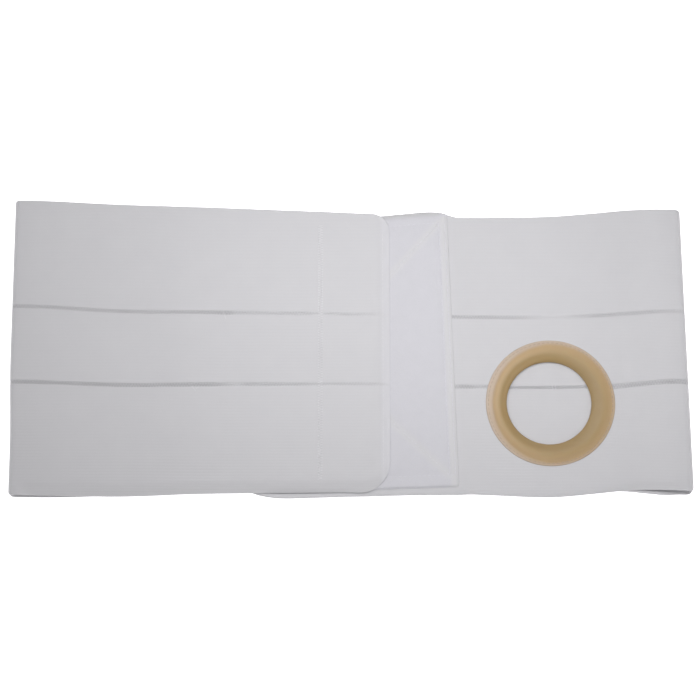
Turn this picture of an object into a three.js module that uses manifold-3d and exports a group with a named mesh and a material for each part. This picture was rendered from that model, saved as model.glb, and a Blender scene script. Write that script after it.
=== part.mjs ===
// Ostomy support belt of knitted elastic, closed into a loop and lying pressed flat.
// X runs along the belt, Y across its width and Z up from the surface it lies on. Millimetres.
import * as THREE from "three";
import { mergeVertices } from "three/addons/utils/BufferGeometryUtils.js";
import Module from "manifold-3d";

const wasm = await Module();
wasm.setup();

// Elastic
const WALL = 1.8;
const GAP = 0.3;
const SEAM = 0.4;
const HOLLOW = 6.0;

// Loop, along X
const FLAP_END = 28.0;
const TAB_END = -83.0;
const LEFT_FOLD = { edge: -239.5, radius: 6.0, reach: 2.6 };
const RIGHT_FOLD = { edge: 239.0, radius: 5.4, reach: 2.5 };

// Rounded ends of the flap and the tab, as sizes along and across the belt
const FLAP_TOP_CORNER = { along: 12, across: 12 };
const FLAP_BOTTOM_CORNER = { along: 18, across: 18 };
const TAB_CORNER = { along: 36, across: 17.7 };

// The folds lean: the left one draws in below, the right one is turned by a share of the width
const LEFT_LEAN = { from: -160, depth: 2.2, start: 3.6, end: 72 };
const RIGHT_LEAN = { from: 190, slope: 0.0165, centre: -51 };

// Closure
const PANEL = { width: 152.4, height: 199.0, thick: 1.5, x: -3.4, y: -1.0, turn: 1.9 };
const PANEL_CORNER = { inner: 26.0, outer: 6.0 };
const HOOK = { width: 48.5, height: 188.0, thick: 1.4, x: 1.2, y: -1.5, corner: 9.0 };

// Opening and its ring, with heights over the face of the elastic
const OPENING = { x: 140.8, y: -38.4, cut: 32.2 };
const RING = { inner: 29.6, outer: 45.2, collar: 31.8, crest: 36.6, height: 2.6, flange: 1.6, edge: 0.5 };
const RING_RISE = { lip: 0.2, lean: 2.4, shoulder: 0.6, crown: 3.0 };
const RING_FALL = { crown: 1.6, lean: 1.2, slope: 1.2, drop: 0.6 };

// Heights of the layers, from the back on the surface up to the flap
const BACK_MID = WALL / 2;
const TAB_MID = BACK_MID + WALL + HOLLOW;
const FRONT_FACE = TAB_MID + WALL / 2;
const PANEL_BASE = FRONT_FACE + GAP;
const HOOK_BASE = PANEL_BASE + PANEL.thick + GAP;
const FLAP_MID = HOOK_BASE + HOOK.thick + GAP + WALL / 2;

const ELASTIC = new THREE.MeshStandardMaterial({ color: 0xcfcfd2, roughness: 0.9, metalness: 0 });
const LOOP_PILE = new THREE.MeshStandardMaterial({ color: 0xd7d6dd, roughness: 0.95, metalness: 0 });
const HOOK_TAPE = new THREE.MeshStandardMaterial({ color: 0xdcdcde, roughness: 0.6, metalness: 0 });
const TAN_VINYL = new THREE.MeshStandardMaterial({ color: 0xb39a73, roughness: 0.5, metalness: 0 });

// Where each fold's arc begins and ends
function foldCentre(fold) {
  const inward = -Math.sign(fold.edge) * (fold.reach + WALL / 2);
  return { x: fold.edge + inward, z: BACK_MID + fold.radius, top: BACK_MID + 2 * fold.radius };
}
const LEFT = foldCentre(LEFT_FOLD);
const RIGHT = foldCentre(RIGHT_FOLD);

// The middle of the wall seen from the belt's edge, span by span from the flap's end to the tab's end.
// A level span keeps its height, an ease changes it softly and a fold turns half round.
const SPANS = [
  { kind: "corner", x: FLAP_END - FLAP_BOTTOM_CORNER.along, z: FLAP_MID, steps: 8 },
  { kind: "level", x: -86, z: FLAP_MID, steps: 8 },
  { kind: "ease", x: -170, z: 12.0, steps: 10 },
  { kind: "ease", x: LEFT.x, z: LEFT.top, steps: 8 },
  { kind: "fold", x: LEFT.x, z: BACK_MID, reach: LEFT_FOLD.reach, steps: 20 },
  { kind: "level", x: RIGHT.x, z: BACK_MID, steps: 30 },
  { kind: "fold", x: RIGHT.x, z: RIGHT.top, reach: RIGHT_FOLD.reach, steps: 20 },
  { kind: "ease", x: 196, z: TAB_MID, steps: 10 },
  { kind: "level", x: TAB_END + TAB_CORNER.along, z: TAB_MID, steps: 22 },
  { kind: "corner", x: TAB_END, z: TAB_MID, steps: 8 },
];

function spanCurve(span, from) {
  const to = new THREE.Vector2(span.x, span.z);
  if (span.kind === "fold") {
    const radius = Math.abs(to.y - from.y) / 2;
    const start = Math.sign(from.y - to.y) * (Math.PI / 2);
    return new THREE.EllipseCurve(span.x, (from.y + to.y) / 2, span.reach, radius, start, start + Math.PI);
  }
  if (span.kind === "ease") {
    const half = (from.x + to.x) / 2;
    const leave = new THREE.Vector2(half, from.y);
    const arrive = new THREE.Vector2(half, to.y);
    return new THREE.CubicBezierCurve(from, leave, arrive, to);
  }
  return new THREE.LineCurve(from, to);
}

// Curves of the course, with the runs along it where the wall takes a new section
const curves = [];
const starts = [];
const stops = [];
let pen = new THREE.Vector2(FLAP_END, FLAP_MID);
let length = 0;
for (const span of SPANS) {
  const curve = spanCurve(span, pen);
  const reach = curve.getLength();
  const closing = span === SPANS.at(-1);
  for (let step = 0; step < span.steps; step++) {
    const even = step / span.steps;
    const turn = (closing ? 1 - even : even) * (Math.PI / 2);
    const round = closing ? Math.cos(turn) : 1 - Math.cos(turn);
    stops.push(length + reach * (span.kind === "corner" ? round : even));
  }
  curves.push(curve);
  starts.push(length);
  length += reach;
  pen = new THREE.Vector2(span.x, span.z);
}
stops.push(length);

// Point and outward direction on the middle of the wall
function onCourse(run) {
  const last = starts.findLastIndex((start) => start <= run);
  const along = Math.min((run - starts[last]) / curves[last].getLength(), 1);
  const tangent = curves[last].getTangentAt(along);
  return { at: curves[last].getPointAt(along), out: new THREE.Vector2(tangent.y, -tangent.x) };
}

// Edges and seams across the width, by layer and place along X, in the order the belt runs
const EDGES = [
  { layer: "flap", x: 28, top: 97.8, upper: 24.2, lower: -25.7, bottom: -101.9 },
  { layer: "flap", x: -25, top: 99.7, upper: 24.8, lower: -25.9, bottom: -102.5 },
  { layer: "flap", x: -105, top: 102.9, upper: 25.7, lower: -26.2, bottom: -103.5 },
  { layer: "flap", x: -162, top: 105.3, upper: 27.0, lower: -26.1, bottom: -104.6 },
  { layer: "flap", x: -230, top: 108.2, upper: 30.5, lower: -24.0, bottom: -103.6 },
  { layer: "back", x: -205, top: 107.4, upper: 29.2, lower: -24.6, bottom: -104.6 },
  { layer: "back", x: -60, top: 100.0, upper: 24.6, lower: -26.0, bottom: -100.2 },
  { layer: "back", x: 140, top: 98.6, upper: 25.0, lower: -26.0, bottom: -100.0 },
  { layer: "back", x: 222, top: 100.4, upper: 26.4, lower: -24.8, bottom: -101.4 },
  { layer: "front", x: 225, top: 102.1, upper: 27.2, lower: -23.6, bottom: -100.1 },
  { layer: "front", x: 200, top: 102.2, upper: 26.3, lower: -25.2, bottom: -100.0 },
  { layer: "front", x: 172, top: 99.6, upper: 24.4, lower: -27.4, bottom: -102.4 },
  { layer: "front", x: 139, top: 97.2, upper: 23.2, lower: -27.2, bottom: -105.0 },
  { layer: "front", x: 85, top: 96.6, upper: 23.4, lower: -26.8, bottom: -103.4 },
  { layer: "front", x: 76, top: 96.9, upper: 23.6, lower: -26.7, bottom: -103.4 },
  { layer: "front", x: 66, top: 99.2, upper: 23.9, lower: -26.6, bottom: -103.5 },
  { layer: "front", x: 40, top: 97.0, upper: 23.5, lower: -27.0, bottom: -103.7 },
  { layer: "front", x: -83, top: 93.0, upper: 19.5, lower: -31.0, bottom: -106.8 },
];
const COLUMNS = ["top", "upper", "lower", "bottom"];
const BACK_START = starts[5];
const FRONT_START = starts[7];

function runAt(layer, x) {
  if (layer === "flap") return FLAP_END - x;
  if (layer === "back") return BACK_START + x - LEFT.x;
  return FRONT_START + RIGHT.x - x;
}
const edgeCurve = new THREE.CubicInterpolant(
  EDGES.map((row) => runAt(row.layer, row.x)),
  EDGES.flatMap((row) => COLUMNS.map((column) => row[column])),
  COLUMNS.length,
);

// How far a rounded end corner draws an edge in, at a distance from that end
function cornerCut(distance, corner) {
  const share = Math.max(corner.along - distance, 0) / corner.along;
  return corner.across * (1 - Math.sqrt(1 - share * share));
}

function edgesAt(run) {
  const [top, upper, lower, bottom] = edgeCurve.evaluate(run);
  const tabCut = cornerCut(length - run, TAB_CORNER);
  const topCut = cornerCut(run, FLAP_TOP_CORNER) + tabCut;
  const bottomCut = cornerCut(run, FLAP_BOTTOM_CORNER) + tabCut;
  return { top: top - topCut, upper, lower, bottom: bottom + bottomCut };
}

// How far a place is drawn along the belt where a fold leans
function leanAt(x, y) {
  const { smoothstep } = THREE.MathUtils;
  const left = LEFT_LEAN.depth * smoothstep(-y, LEFT_LEAN.start, LEFT_LEAN.end);
  const right = -RIGHT_LEAN.slope * (y - RIGHT_LEAN.centre);
  const nearLeft = smoothstep(-x, -LEFT_LEAN.from, -LEFT.x);
  const nearRight = smoothstep(x, RIGHT_LEAN.from, RIGHT.x);
  return left * nearLeft + right * nearRight;
}

function solidOf(geometry) {
  const plain = new THREE.BufferGeometry();
  plain.setAttribute("position", geometry.toNonIndexed().getAttribute("position"));
  const merged = mergeVertices(plain, 1e-4);
  const vertProperties = new Float32Array(merged.attributes.position.array);
  const triVerts = new Uint32Array(merged.index.array);
  return new wasm.Manifold(new wasm.Mesh({ numProp: 3, vertProperties, triVerts }));
}

function geometryOf(solid) {
  const mesh = solid.getMesh();
  const geometry = new THREE.BufferGeometry();
  geometry.setAttribute("position", new THREE.BufferAttribute(mesh.vertProperties, 3));
  geometry.setIndex(new THREE.BufferAttribute(mesh.triVerts, 1));
  const faceted = geometry.toNonIndexed();
  faceted.computeVertexNormals();
  return faceted;
}

// One length of elastic: a straight bar bent along the course, between two of the edges
const STRIPS = [
  { name: "upper_strip", high: "top", low: "upper", highSeam: 0, lowSeam: SEAM / 2 },
  { name: "middle_strip", high: "upper", low: "lower", highSeam: SEAM / 2, lowSeam: SEAM / 2 },
  { name: "lower_strip", high: "lower", low: "bottom", highSeam: SEAM / 2, lowSeam: 0 },
];

function stripGeometry(strip) {
  const sections = stops.length - 1;
  const bar = new THREE.BoxGeometry(1, 1, 1, sections, 1, 1);
  const position = bar.getAttribute("position");
  for (let i = 0; i < position.count; i++) {
    const run = stops[Math.round((position.getX(i) + 0.5) * sections)];
    const { at, out } = onCourse(run);
    const edges = edgesAt(run);
    const across = position.getZ(i) + 0.5;
    const low = edges[strip.low] + strip.lowSeam;
    const high = edges[strip.high] - strip.highSeam;
    const depth = position.getY(i) * WALL;
    const y = THREE.MathUtils.lerp(low, high, across);
    position.setXYZ(i, at.x + out.x * depth + leanAt(at.x, y), y, at.y + out.y * depth);
  }
  return bar;
}

function openingCutter() {
  const drill = new THREE.CylinderGeometry(OPENING.cut, OPENING.cut, 3 * WALL, 72);
  drill.rotateX(Math.PI / 2);
  drill.translate(OPENING.x, OPENING.y, TAB_MID);
  return solidOf(drill);
}

// Flat outline with its own corner radius at each end
function roundedOutline(width, height, leftRadius, rightRadius) {
  const half = { x: width / 2, y: height / 2 };
  const outline = new THREE.Shape();
  outline.absarc(half.x - rightRadius, half.y - rightRadius, rightRadius, 0, Math.PI / 2);
  outline.absarc(leftRadius - half.x, half.y - leftRadius, leftRadius, Math.PI / 2, Math.PI);
  outline.absarc(leftRadius - half.x, leftRadius - half.y, leftRadius, Math.PI, 1.5 * Math.PI);
  outline.absarc(half.x - rightRadius, rightRadius - half.y, rightRadius, 1.5 * Math.PI, 2 * Math.PI);
  return outline;
}

function plateGeometry(outline, thick) {
  return new THREE.ExtrudeGeometry(outline, { depth: thick, bevelEnabled: false, curveSegments: 8 });
}

// Ring section: thin sewing flange, rounded crest and a throat that slopes down through the wall
function ringGeometry() {
  const under = FRONT_FACE - WALL;
  const seat = FRONT_FACE + GAP;
  const flangeTop = seat + RING.edge;
  const crest = FRONT_FACE + RING.height;
  const foot = RING.outer - RING.flange;
  const outside = new THREE.Vector2(foot - RING_RISE.lean, crest - RING_RISE.shoulder);
  const crownOut = RING.crest + RING_RISE.crown;
  const crownIn = RING.crest - RING_FALL.crown;
  const inside = new THREE.Vector2(RING.inner + RING_FALL.lean, FRONT_FACE + RING_FALL.slope);
  const section = new THREE.Path();
  section.moveTo(RING.outer, seat);
  section.lineTo(RING.outer, flangeTop);
  section.lineTo(foot, flangeTop + RING_RISE.lip);
  section.bezierCurveTo(outside.x, outside.y, crownOut, crest, RING.crest, crest);
  section.bezierCurveTo(crownIn, crest, inside.x, inside.y, RING.inner, FRONT_FACE - RING_FALL.drop);
  section.lineTo(RING.inner, under);
  section.lineTo(RING.collar, under);
  section.lineTo(RING.collar, seat);
  section.lineTo(RING.outer, seat);
  const ring = new THREE.LatheGeometry(section.getPoints(6), 72);
  ring.rotateX(Math.PI / 2);
  ring.translate(OPENING.x, OPENING.y, 0);
  return ring;
}

const belt = new THREE.Group();
function piece(name, geometry, material) {
  const mesh = new THREE.Mesh(geometry, material);
  mesh.name = name;
  belt.add(mesh);
  return mesh;
}

const drill = openingCutter();
for (const strip of STRIPS) {
  const wall = solidOf(stripGeometry(strip)).subtract(drill);
  piece(strip.name, geometryOf(wall), ELASTIC);
}

const panelOutline = roundedOutline(PANEL.width, PANEL.height, PANEL_CORNER.inner, PANEL_CORNER.outer);
const panel = piece("closure_panel", plateGeometry(panelOutline, PANEL.thick), LOOP_PILE);
panel.rotation.z = THREE.MathUtils.degToRad(PANEL.turn);
panel.position.set(PANEL.x, PANEL.y, PANEL_BASE);

const hookOutline = roundedOutline(HOOK.width, HOOK.height, 1, HOOK.corner);
const hook = piece("hook_strip", plateGeometry(hookOutline, HOOK.thick), HOOK_TAPE);
hook.position.set(HOOK.x, HOOK.y, HOOK_BASE);

piece("stoma_ring", ringGeometry(), TAN_VINYL);

// Origin under the middle of the whole belt, on the surface it lies on
const bounds = new THREE.Box3().setFromObject(belt, true);
const middle = bounds.getCenter(new THREE.Vector3());
belt.children.forEach((mesh) => mesh.position.sub(new THREE.Vector3(middle.x, middle.y, bounds.min.z)));

export default belt;
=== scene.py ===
"""Looks of a knitted elastic ostomy support belt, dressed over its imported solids.

The belt is closed into a loop and lies pressed flat. X runs along it, Y across its width
and Z up. Named sizes are in millimetres, and meshes are in metres.
"""

import logging
import math
from dataclasses import dataclass, field
from enum import Enum

import bmesh
import bpy
import numpy as np
from mathutils import Color, Matrix, Vector, geometry, noise


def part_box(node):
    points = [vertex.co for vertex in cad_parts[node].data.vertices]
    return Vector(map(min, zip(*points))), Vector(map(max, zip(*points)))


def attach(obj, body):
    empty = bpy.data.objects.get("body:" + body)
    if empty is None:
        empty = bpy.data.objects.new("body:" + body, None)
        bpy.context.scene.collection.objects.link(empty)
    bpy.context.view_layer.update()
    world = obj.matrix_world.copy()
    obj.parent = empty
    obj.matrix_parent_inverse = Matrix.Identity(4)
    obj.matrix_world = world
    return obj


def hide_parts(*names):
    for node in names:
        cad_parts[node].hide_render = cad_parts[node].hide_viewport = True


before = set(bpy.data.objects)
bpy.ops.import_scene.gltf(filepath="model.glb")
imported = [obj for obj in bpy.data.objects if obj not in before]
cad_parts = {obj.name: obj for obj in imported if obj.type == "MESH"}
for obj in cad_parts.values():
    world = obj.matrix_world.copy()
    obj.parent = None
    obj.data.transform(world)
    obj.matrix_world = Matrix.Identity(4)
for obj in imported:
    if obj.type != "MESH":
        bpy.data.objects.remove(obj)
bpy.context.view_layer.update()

log = logging.getLogger("support_belt")

MM = 0.001
TURN = 2 * math.pi
HALF = 0.5
UP = Vector((0.0, 0.0, 1.0))
SCREEN_LEVELS = 255
WIDE_ELASTIC = 76.2
NARROW_ELASTIC = 50.8
UV_NAME = "UVMap"
# Carries the seam's web, whose darker colour is partly the cloth's own grey and partly painted shade, and
# the flap's hem below 0.
WEB_SHADE_AND_HEM_NAME = "seam_web"
# Carries the ring's radius, shifted by painted shade on its lower right and painted light on the upper left
# of its throat.
GRADE_AND_SHADE_NAME = "ring_grade_and_shade"
# Carries the panel's bare side and pressed diagonals, and painted shade along its top edge.
SELVEDGE_AND_SHADE_NAME = "panel_selvedge_and_shade"
Colour = tuple[float, float, float, float]
WHITE: Colour = (1.0, 1.0, 1.0, 1.0)


def srgb(red: int, green: int, blue: int) -> Colour:
    """Turns a screen colour into the linear one that shaders take.

    Args:
        red: Red from 0 to 255.
        green: Green from 0 to 255.
        blue: Blue from 0 to 255.

    Returns:
        Linear red, green, blue and an alpha of 1.
    """
    levels = [level / SCREEN_LEVELS for level in (red, green, blue)]
    return (*Color(levels).from_srgb_to_scene_linear(), 1.0)


def smooth(low: float, high: float, value: float) -> float:
    """Rises softly from 0 at low to 1 at high.

    Args:
        low: Where the rise begins.
        high: Where it ends.
        value: The place asked for.

    Returns:
        The rise there, from 0 to 1.
    """
    share = min(max((value - low) / (high - low), 0.0), 1.0)
    return share * share * (3 - 2 * share)


def bell(distance: float, reach: float) -> float:
    """Falls from 1 at no distance to nearly 0 at twice the reach."""
    return math.exp(-((distance / reach) ** 2))


@dataclass(frozen=True)
class Corner:
    """A rounded corner: its size along the end that it belongs to, and across it."""

    along: float
    across: float

    def cut(self, distance: float) -> float:
        """How far the corner draws an edge in.

        Args:
            distance: Distance from the end.

        Returns:
            The cut at that distance, which is 0 past the corner.
        """
        share = min(max(self.along - distance, 0.0) / self.along, 1.0)
        return self.across * (1 - math.sqrt(1 - share * share))

    def steps(self, count: int) -> list[float]:
        """Distances from the end at which the corner takes a new section."""
        return [self.along * (1 - math.cos(step / count * math.pi / 2)) for step in range(count)]


class Bend(Enum):
    """How a stretch of the belt runs, seen from its edge."""

    LEVEL = "level"
    EASE = "ease"
    FOLD = "fold"


class Layer(Enum):
    """The layers of the flattened loop."""

    FLAP = "flap"
    BACK = "back"
    FRONT = "front"


class Side(Enum):
    """The two faces of the elastic."""

    OUTER = 1
    INNER = -1


class Edge(Enum):
    """The lines that bound the strips across the belt's width."""

    TOP = 0
    UPPER = 1
    LOWER = 2
    BOTTOM = 3

    @property
    def is_seam(self) -> bool:
        """True where the line is a seam between two strips and not an edge of the belt."""
        return self in (Edge.UPPER, Edge.LOWER)


@dataclass(frozen=True)
class Span:
    """One stretch of the course: where it ends, its sections' pace and how far a fold reaches."""

    bend: Bend
    x: float
    z: float
    pace: float
    reach: float = 0.0


@dataclass(frozen=True)
class EdgeRow:
    """Where the edges and seams lie across the width at one place along the belt."""

    layer: Layer
    x: float
    top: float
    upper: float
    lower: float
    bottom: float


EDGE_ROWS = (
    EdgeRow(Layer.FLAP, 28, 97.8, 24.2, -25.7, -101.9),
    EdgeRow(Layer.FLAP, -25, 99.7, 24.8, -25.9, -102.2),
    EdgeRow(Layer.FLAP, -105, 102.9, 25.7, -26.2, -103.0),
    EdgeRow(Layer.FLAP, -162, 105.3, 27.0, -26.1, -104.6),
    EdgeRow(Layer.FLAP, -230, 108.2, 30.5, -24.0, -103.6),
    EdgeRow(Layer.BACK, -205, 107.4, 29.2, -24.6, -104.0),
    EdgeRow(Layer.BACK, -60, 100.0, 24.6, -26.0, -100.2),
    EdgeRow(Layer.BACK, 140, 98.6, 25.0, -26.9, -100.0),
    EdgeRow(Layer.BACK, 190, 99.7, 25.8, -25.6, -100.2),
    EdgeRow(Layer.BACK, 206, 100.0, 26.1, -25.2, -101.9),
    EdgeRow(Layer.BACK, 222, 100.4, 26.4, -24.8, -103.0),
    EdgeRow(Layer.FRONT, 225, 102.1, 27.2, -23.6, -100.1),
    EdgeRow(Layer.FRONT, 200, 102.2, 26.3, -25.2, -99.6),
    EdgeRow(Layer.FRONT, 172, 99.6, 24.4, -27.4, -102.4),
    EdgeRow(Layer.FRONT, 139, 97.2, 23.2, -27.2, -105.0),
    EdgeRow(Layer.FRONT, 85, 96.6, 23.4, -26.8, -103.1),
    EdgeRow(Layer.FRONT, 76, 96.9, 23.6, -26.7, -103.4),
    EdgeRow(Layer.FRONT, 66, 99.2, 23.9, -26.6, -103.5),
    EdgeRow(Layer.FRONT, 40, 97.0, 23.5, -27.0, -103.7),
    EdgeRow(Layer.FRONT, -83, 93.0, 19.5, -31.0, -106.8),
)


@dataclass(frozen=True)
class SeamRow:
    """How deep the seams lie at one place along the belt, and how widely the lower one spreads.

    Each is a share of the usual depth or width.
    """

    layer: Layer
    x: float
    upper: float
    lower: float
    spread: float = 1.0


# The depths also set how far the web's colour darkens, partly with painted shade of the groove.
SEAM_ROWS = (
    SeamRow(Layer.FLAP, 28, 0.05, 0.1),
    SeamRow(Layer.FLAP, 21, 0.05, 0.2),
    SeamRow(Layer.FLAP, 13, 0.2, 0.35),
    SeamRow(Layer.FLAP, 0, 0.4, 0.4),
    SeamRow(Layer.FLAP, -13, 0.3, 0.4),
    SeamRow(Layer.FLAP, -21, 0.1, 0.25),
    SeamRow(Layer.FLAP, -30, 0.5, 0.5),
    SeamRow(Layer.FLAP, -72, 0.55, 0.75),
    SeamRow(Layer.FLAP, -81, 0.65, 0.4),
    SeamRow(Layer.FLAP, -89, 1.5, 0.8),
    SeamRow(Layer.FLAP, -97, 0.95, 1.15),
    SeamRow(Layer.FLAP, -106, 0.95, 1.35),
    SeamRow(Layer.FLAP, -115, 0.9, 1.1),
    SeamRow(Layer.FLAP, -230, 0.8, 1.0),
    SeamRow(Layer.BACK, -205, 0.8, 0.8),
    SeamRow(Layer.BACK, 90, 1.0, 1.0),
    SeamRow(Layer.BACK, 110, 1.0, 1.15, 0.75),
    SeamRow(Layer.BACK, 170, 1.0, 1.15, 0.75),
    SeamRow(Layer.BACK, 222, 0.8, 0.8),
    SeamRow(Layer.FRONT, 232, 0.4, 1.2, 1.3),
    SeamRow(Layer.FRONT, 216, 0.75, 1.0, 1.3),
    SeamRow(Layer.FRONT, 205, 0.75, 0.9, 1.35),
    SeamRow(Layer.FRONT, 174, 0.75, 0.8, 1.6),
    SeamRow(Layer.FRONT, 157, 0.25, 1.0),
    SeamRow(Layer.FRONT, 148, 0.05, 1.0),
    SeamRow(Layer.FRONT, 140, 0.05, 1.0),
    SeamRow(Layer.FRONT, 131, 0.3, 1.0),
    SeamRow(Layer.FRONT, 114, 0.7, 0.8),
    SeamRow(Layer.FRONT, 89, 0.75, 0.6),
    SeamRow(Layer.FRONT, 81, 0.75, 1.2),
    SeamRow(Layer.FRONT, 72, 0.8, 0.45),
    SeamRow(Layer.FRONT, 40, 0.3, 0.3),
    SeamRow(Layer.FRONT, -83, 0.3, 0.3),
)


@dataclass(frozen=True)
class Unevenness:
    """Soft waves in lying cloth: their length along the belt and across it, and where they start."""

    along: float
    across: float
    start: float

    def at(self, run: float, y: float) -> float:
        """The height of the waves at a place, from -1 to 1."""
        return noise.noise(Vector((run / self.along, y / self.across, self.start)))


@dataclass(frozen=True)
class Hang:
    """How far an edge of the cloth hangs or curls, and the reach over which it does."""

    depth: float
    reach: float

    def towards(self, other: "Hang", share: float) -> "Hang":
        """The hang at a share of the way to another."""
        depth = self.depth + (other.depth - self.depth) * share
        return Hang(depth, self.reach + (other.reach - self.reach) * share)


@dataclass
class Course:
    """The way the elastic runs, from the flap's end round both folds to the tab's end."""

    wall: float = 1.8
    gap: float = 0.3
    hollow: float = 6.0
    panel_thick: float = 1.5
    hook_thick: float = 1.4
    flap_end: float = 28.0
    flap_level_to: float = -86.0
    front_level_from: float = 196.0
    tab_end: float = -83.0
    flap_top: Corner = Corner(12.0, 12.0)
    flap_bottom: Corner = Corner(20.0, 22.0)
    tab_corner: Corner = Corner(40.0, 20.0)
    left_edge: float = -239.9
    left_radius: float = 6.0
    left_reach: float = 2.6
    left_lean: float = 1.7
    left_lean_from: float = -160.0
    left_lean_y: tuple[float, float] = (3.6, 72.0)
    left_pinch: float = 1.2
    right_edge: float = 239.0
    right_radius: float = 5.4
    right_reach: float = 2.5
    right_lean: float = 0.0165
    right_lean_from: float = 190.0
    right_lean_y: float = -51.0
    right_pinch: float = 2.0
    pinch_reach: float = 3.5
    sag_x: float = -170.0
    sag_z: float = 12.0
    opening: tuple[float, float] = (140.8, -38.4)
    opening_cut: float = 32.2
    opening_lift: float = 5.6
    opening_lift_reach: tuple[float, float] = (30.0, 60.0)
    seam_depth: float = 0.52
    wander: Unevenness = Unevenness(64.0, 52.0, 3.1)
    ripple: Unevenness = Unevenness(21.0, 40.0, 7.7)
    flap_wander: float = 0.75
    flap_ripple: float = 0.12
    flap_free: tuple[float, float] = (-88.0, -125.0)
    flap_settled: float = 20.0
    flap_closed: tuple[float, float] = (-150.0, -105.0)
    flap_droop: float = 2.35
    flap_droop_from: float = 16.0
    flap_feather: float = 7.0
    flap_hem: tuple[float, float] = (4.5, 7.5)
    flap_thin: float = 0.25
    flap_hang: Hang = Hang(3.3, 7.0)
    left_hang: Hang = Hang(3.2, 8.0)
    left_hang_clear: float = 14.0
    back_wander: float = 0.35
    back_settled: float = 30.0
    back_curl: Hang = Hang(4.2, 9.0)
    back_curl_clear: float = 8.0
    front_wander: float = 0.6
    front_ripple: float = 0.1
    front_free: tuple[float, float] = (78.0, 96.0)
    front_settled: float = 20.0
    ring_free: tuple[float, float] = (46.0, 62.0)
    right_hang: Hang = Hang(2.6, 4.5)
    right_hang_from: tuple[float, float] = (176.0, 200.0)
    right_hang_clear: float = 16.0
    dent: tuple[float, float] = (192.0, -14.0)
    dent_reach: tuple[float, float] = (5.0, 17.0)
    dent_depth: float = 0.75
    tab_curl: Hang = Hang(2.1, 5.0)
    tab_curl_from: tuple[float, float] = (-66.0, -56.0)
    tab_curl_to: tuple[float, float] = (-10.0, 15.0)
    sample: float = 0.25
    least_samples: int = 80
    flap_pace: float = 2.4
    fold_pace: float = 0.6
    back_pace: float = 3.0
    rise_pace: float = 1.8
    front_pace: float = 2.2
    corner_sections: int = 9

    def __post_init__(self) -> None:
        """Lays out the heights, the course and the edges along it."""
        low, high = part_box("stoma_ring")
        centre = (low + high) / (2 * MM)
        self.shift = Vector((centre.x - self.opening[0], centre.y - self.opening[1], 0))
        self.back_mid = self.wall / 2
        self.tab_mid = self.back_mid + self.wall + self.hollow
        self.front_face = self.tab_mid + self.wall / 2
        self.panel_base = self.front_face + self.gap
        self.hook_base = self.panel_base + self.panel_thick + self.gap
        self.flap_mid = self.hook_base + self.hook_thick + self.gap + self.wall / 2
        self.left_x = self.left_edge + self.left_reach + self.wall / 2
        self.right_x = self.right_edge - self.right_reach - self.wall / 2
        self.edge_cache: dict[float, np.ndarray] = {}
        self.middle_cache: dict[float, tuple[float, float, float, float]] = {}
        self._lay_spans()
        self._lay_edges()

    def spans(self) -> tuple[Span, ...]:
        """The stretches of the course, in the order that the belt runs.

        Returns:
            The stretches.
        """
        left_top = self.back_mid + 2 * self.left_radius
        right_top = self.back_mid + 2 * self.right_radius
        return (
            Span(Bend.LEVEL, self.flap_level_to, self.flap_mid, self.flap_pace),
            Span(Bend.EASE, self.sag_x, self.sag_z, self.flap_pace),
            Span(Bend.EASE, self.left_x, left_top, self.flap_pace),
            Span(Bend.FOLD, self.left_x, self.back_mid, self.fold_pace, self.left_reach),
            Span(Bend.LEVEL, self.right_x, self.back_mid, self.back_pace),
            Span(Bend.FOLD, self.right_x, right_top, self.fold_pace, self.right_reach),
            Span(Bend.EASE, self.front_level_from, self.tab_mid, self.rise_pace),
            Span(Bend.LEVEL, self.tab_end, self.tab_mid, self.front_pace),
        )

    def _span_points(self, span: Span, start: np.ndarray) -> np.ndarray:
        """Samples one stretch.

        Args:
            span: The stretch.
            start: Where it begins, as x and z.

        Returns:
            Rows of x and z, without the first point.
        """
        end = np.array((span.x, span.z))
        count = max(int(np.linalg.norm(end - start) / self.sample), self.least_samples)
        along = np.linspace(0, 1, count + 1)[1:, None]
        if span.bend is Bend.FOLD:
            middle = (start + end) / 2
            radius = abs(end[1] - start[1]) / 2
            first = math.copysign(math.pi / 2, start[1] - end[1])
            angle = first + along[:, 0] * math.pi
            return middle + np.stack((span.reach * np.cos(angle), radius * np.sin(angle)), axis=1)
        if span.bend is Bend.EASE:
            half = (start[0] + end[0]) / 2
            leave, arrive = np.array((half, start[1])), np.array((half, end[1]))
            back = 1 - along
            ends = back**3 * start + along**3 * end
            return ends + 3 * back**2 * along * leave + 3 * back * along**2 * arrive
        return start + along * (end - start)

    def _lay_spans(self) -> None:
        """Samples the course, with the run along it and the outward direction."""
        points = [np.array(((self.flap_end, self.flap_mid),))]
        counts = []
        for span in self.spans():
            counts.append(sum(map(len, points)) - 1)
            points.append(self._span_points(span, points[-1][-1]))
        self.line = np.concatenate(points)
        steps = np.linalg.norm(np.diff(self.line, axis=0), axis=1)
        self.runs = np.concatenate(((0.0,), np.cumsum(steps)))
        self.starts = [float(self.runs[count]) for count in counts]
        *_, self.left_fold, self.back, self.right_fold, self.front, self.front_level = self.starts
        self.length = float(self.runs[-1])
        tangent = np.gradient(self.line, self.runs, axis=0)
        tangent /= np.linalg.norm(tangent, axis=1)[:, None]
        self.outward = np.stack((tangent[:, 1], -tangent[:, 0]), axis=1)

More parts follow.
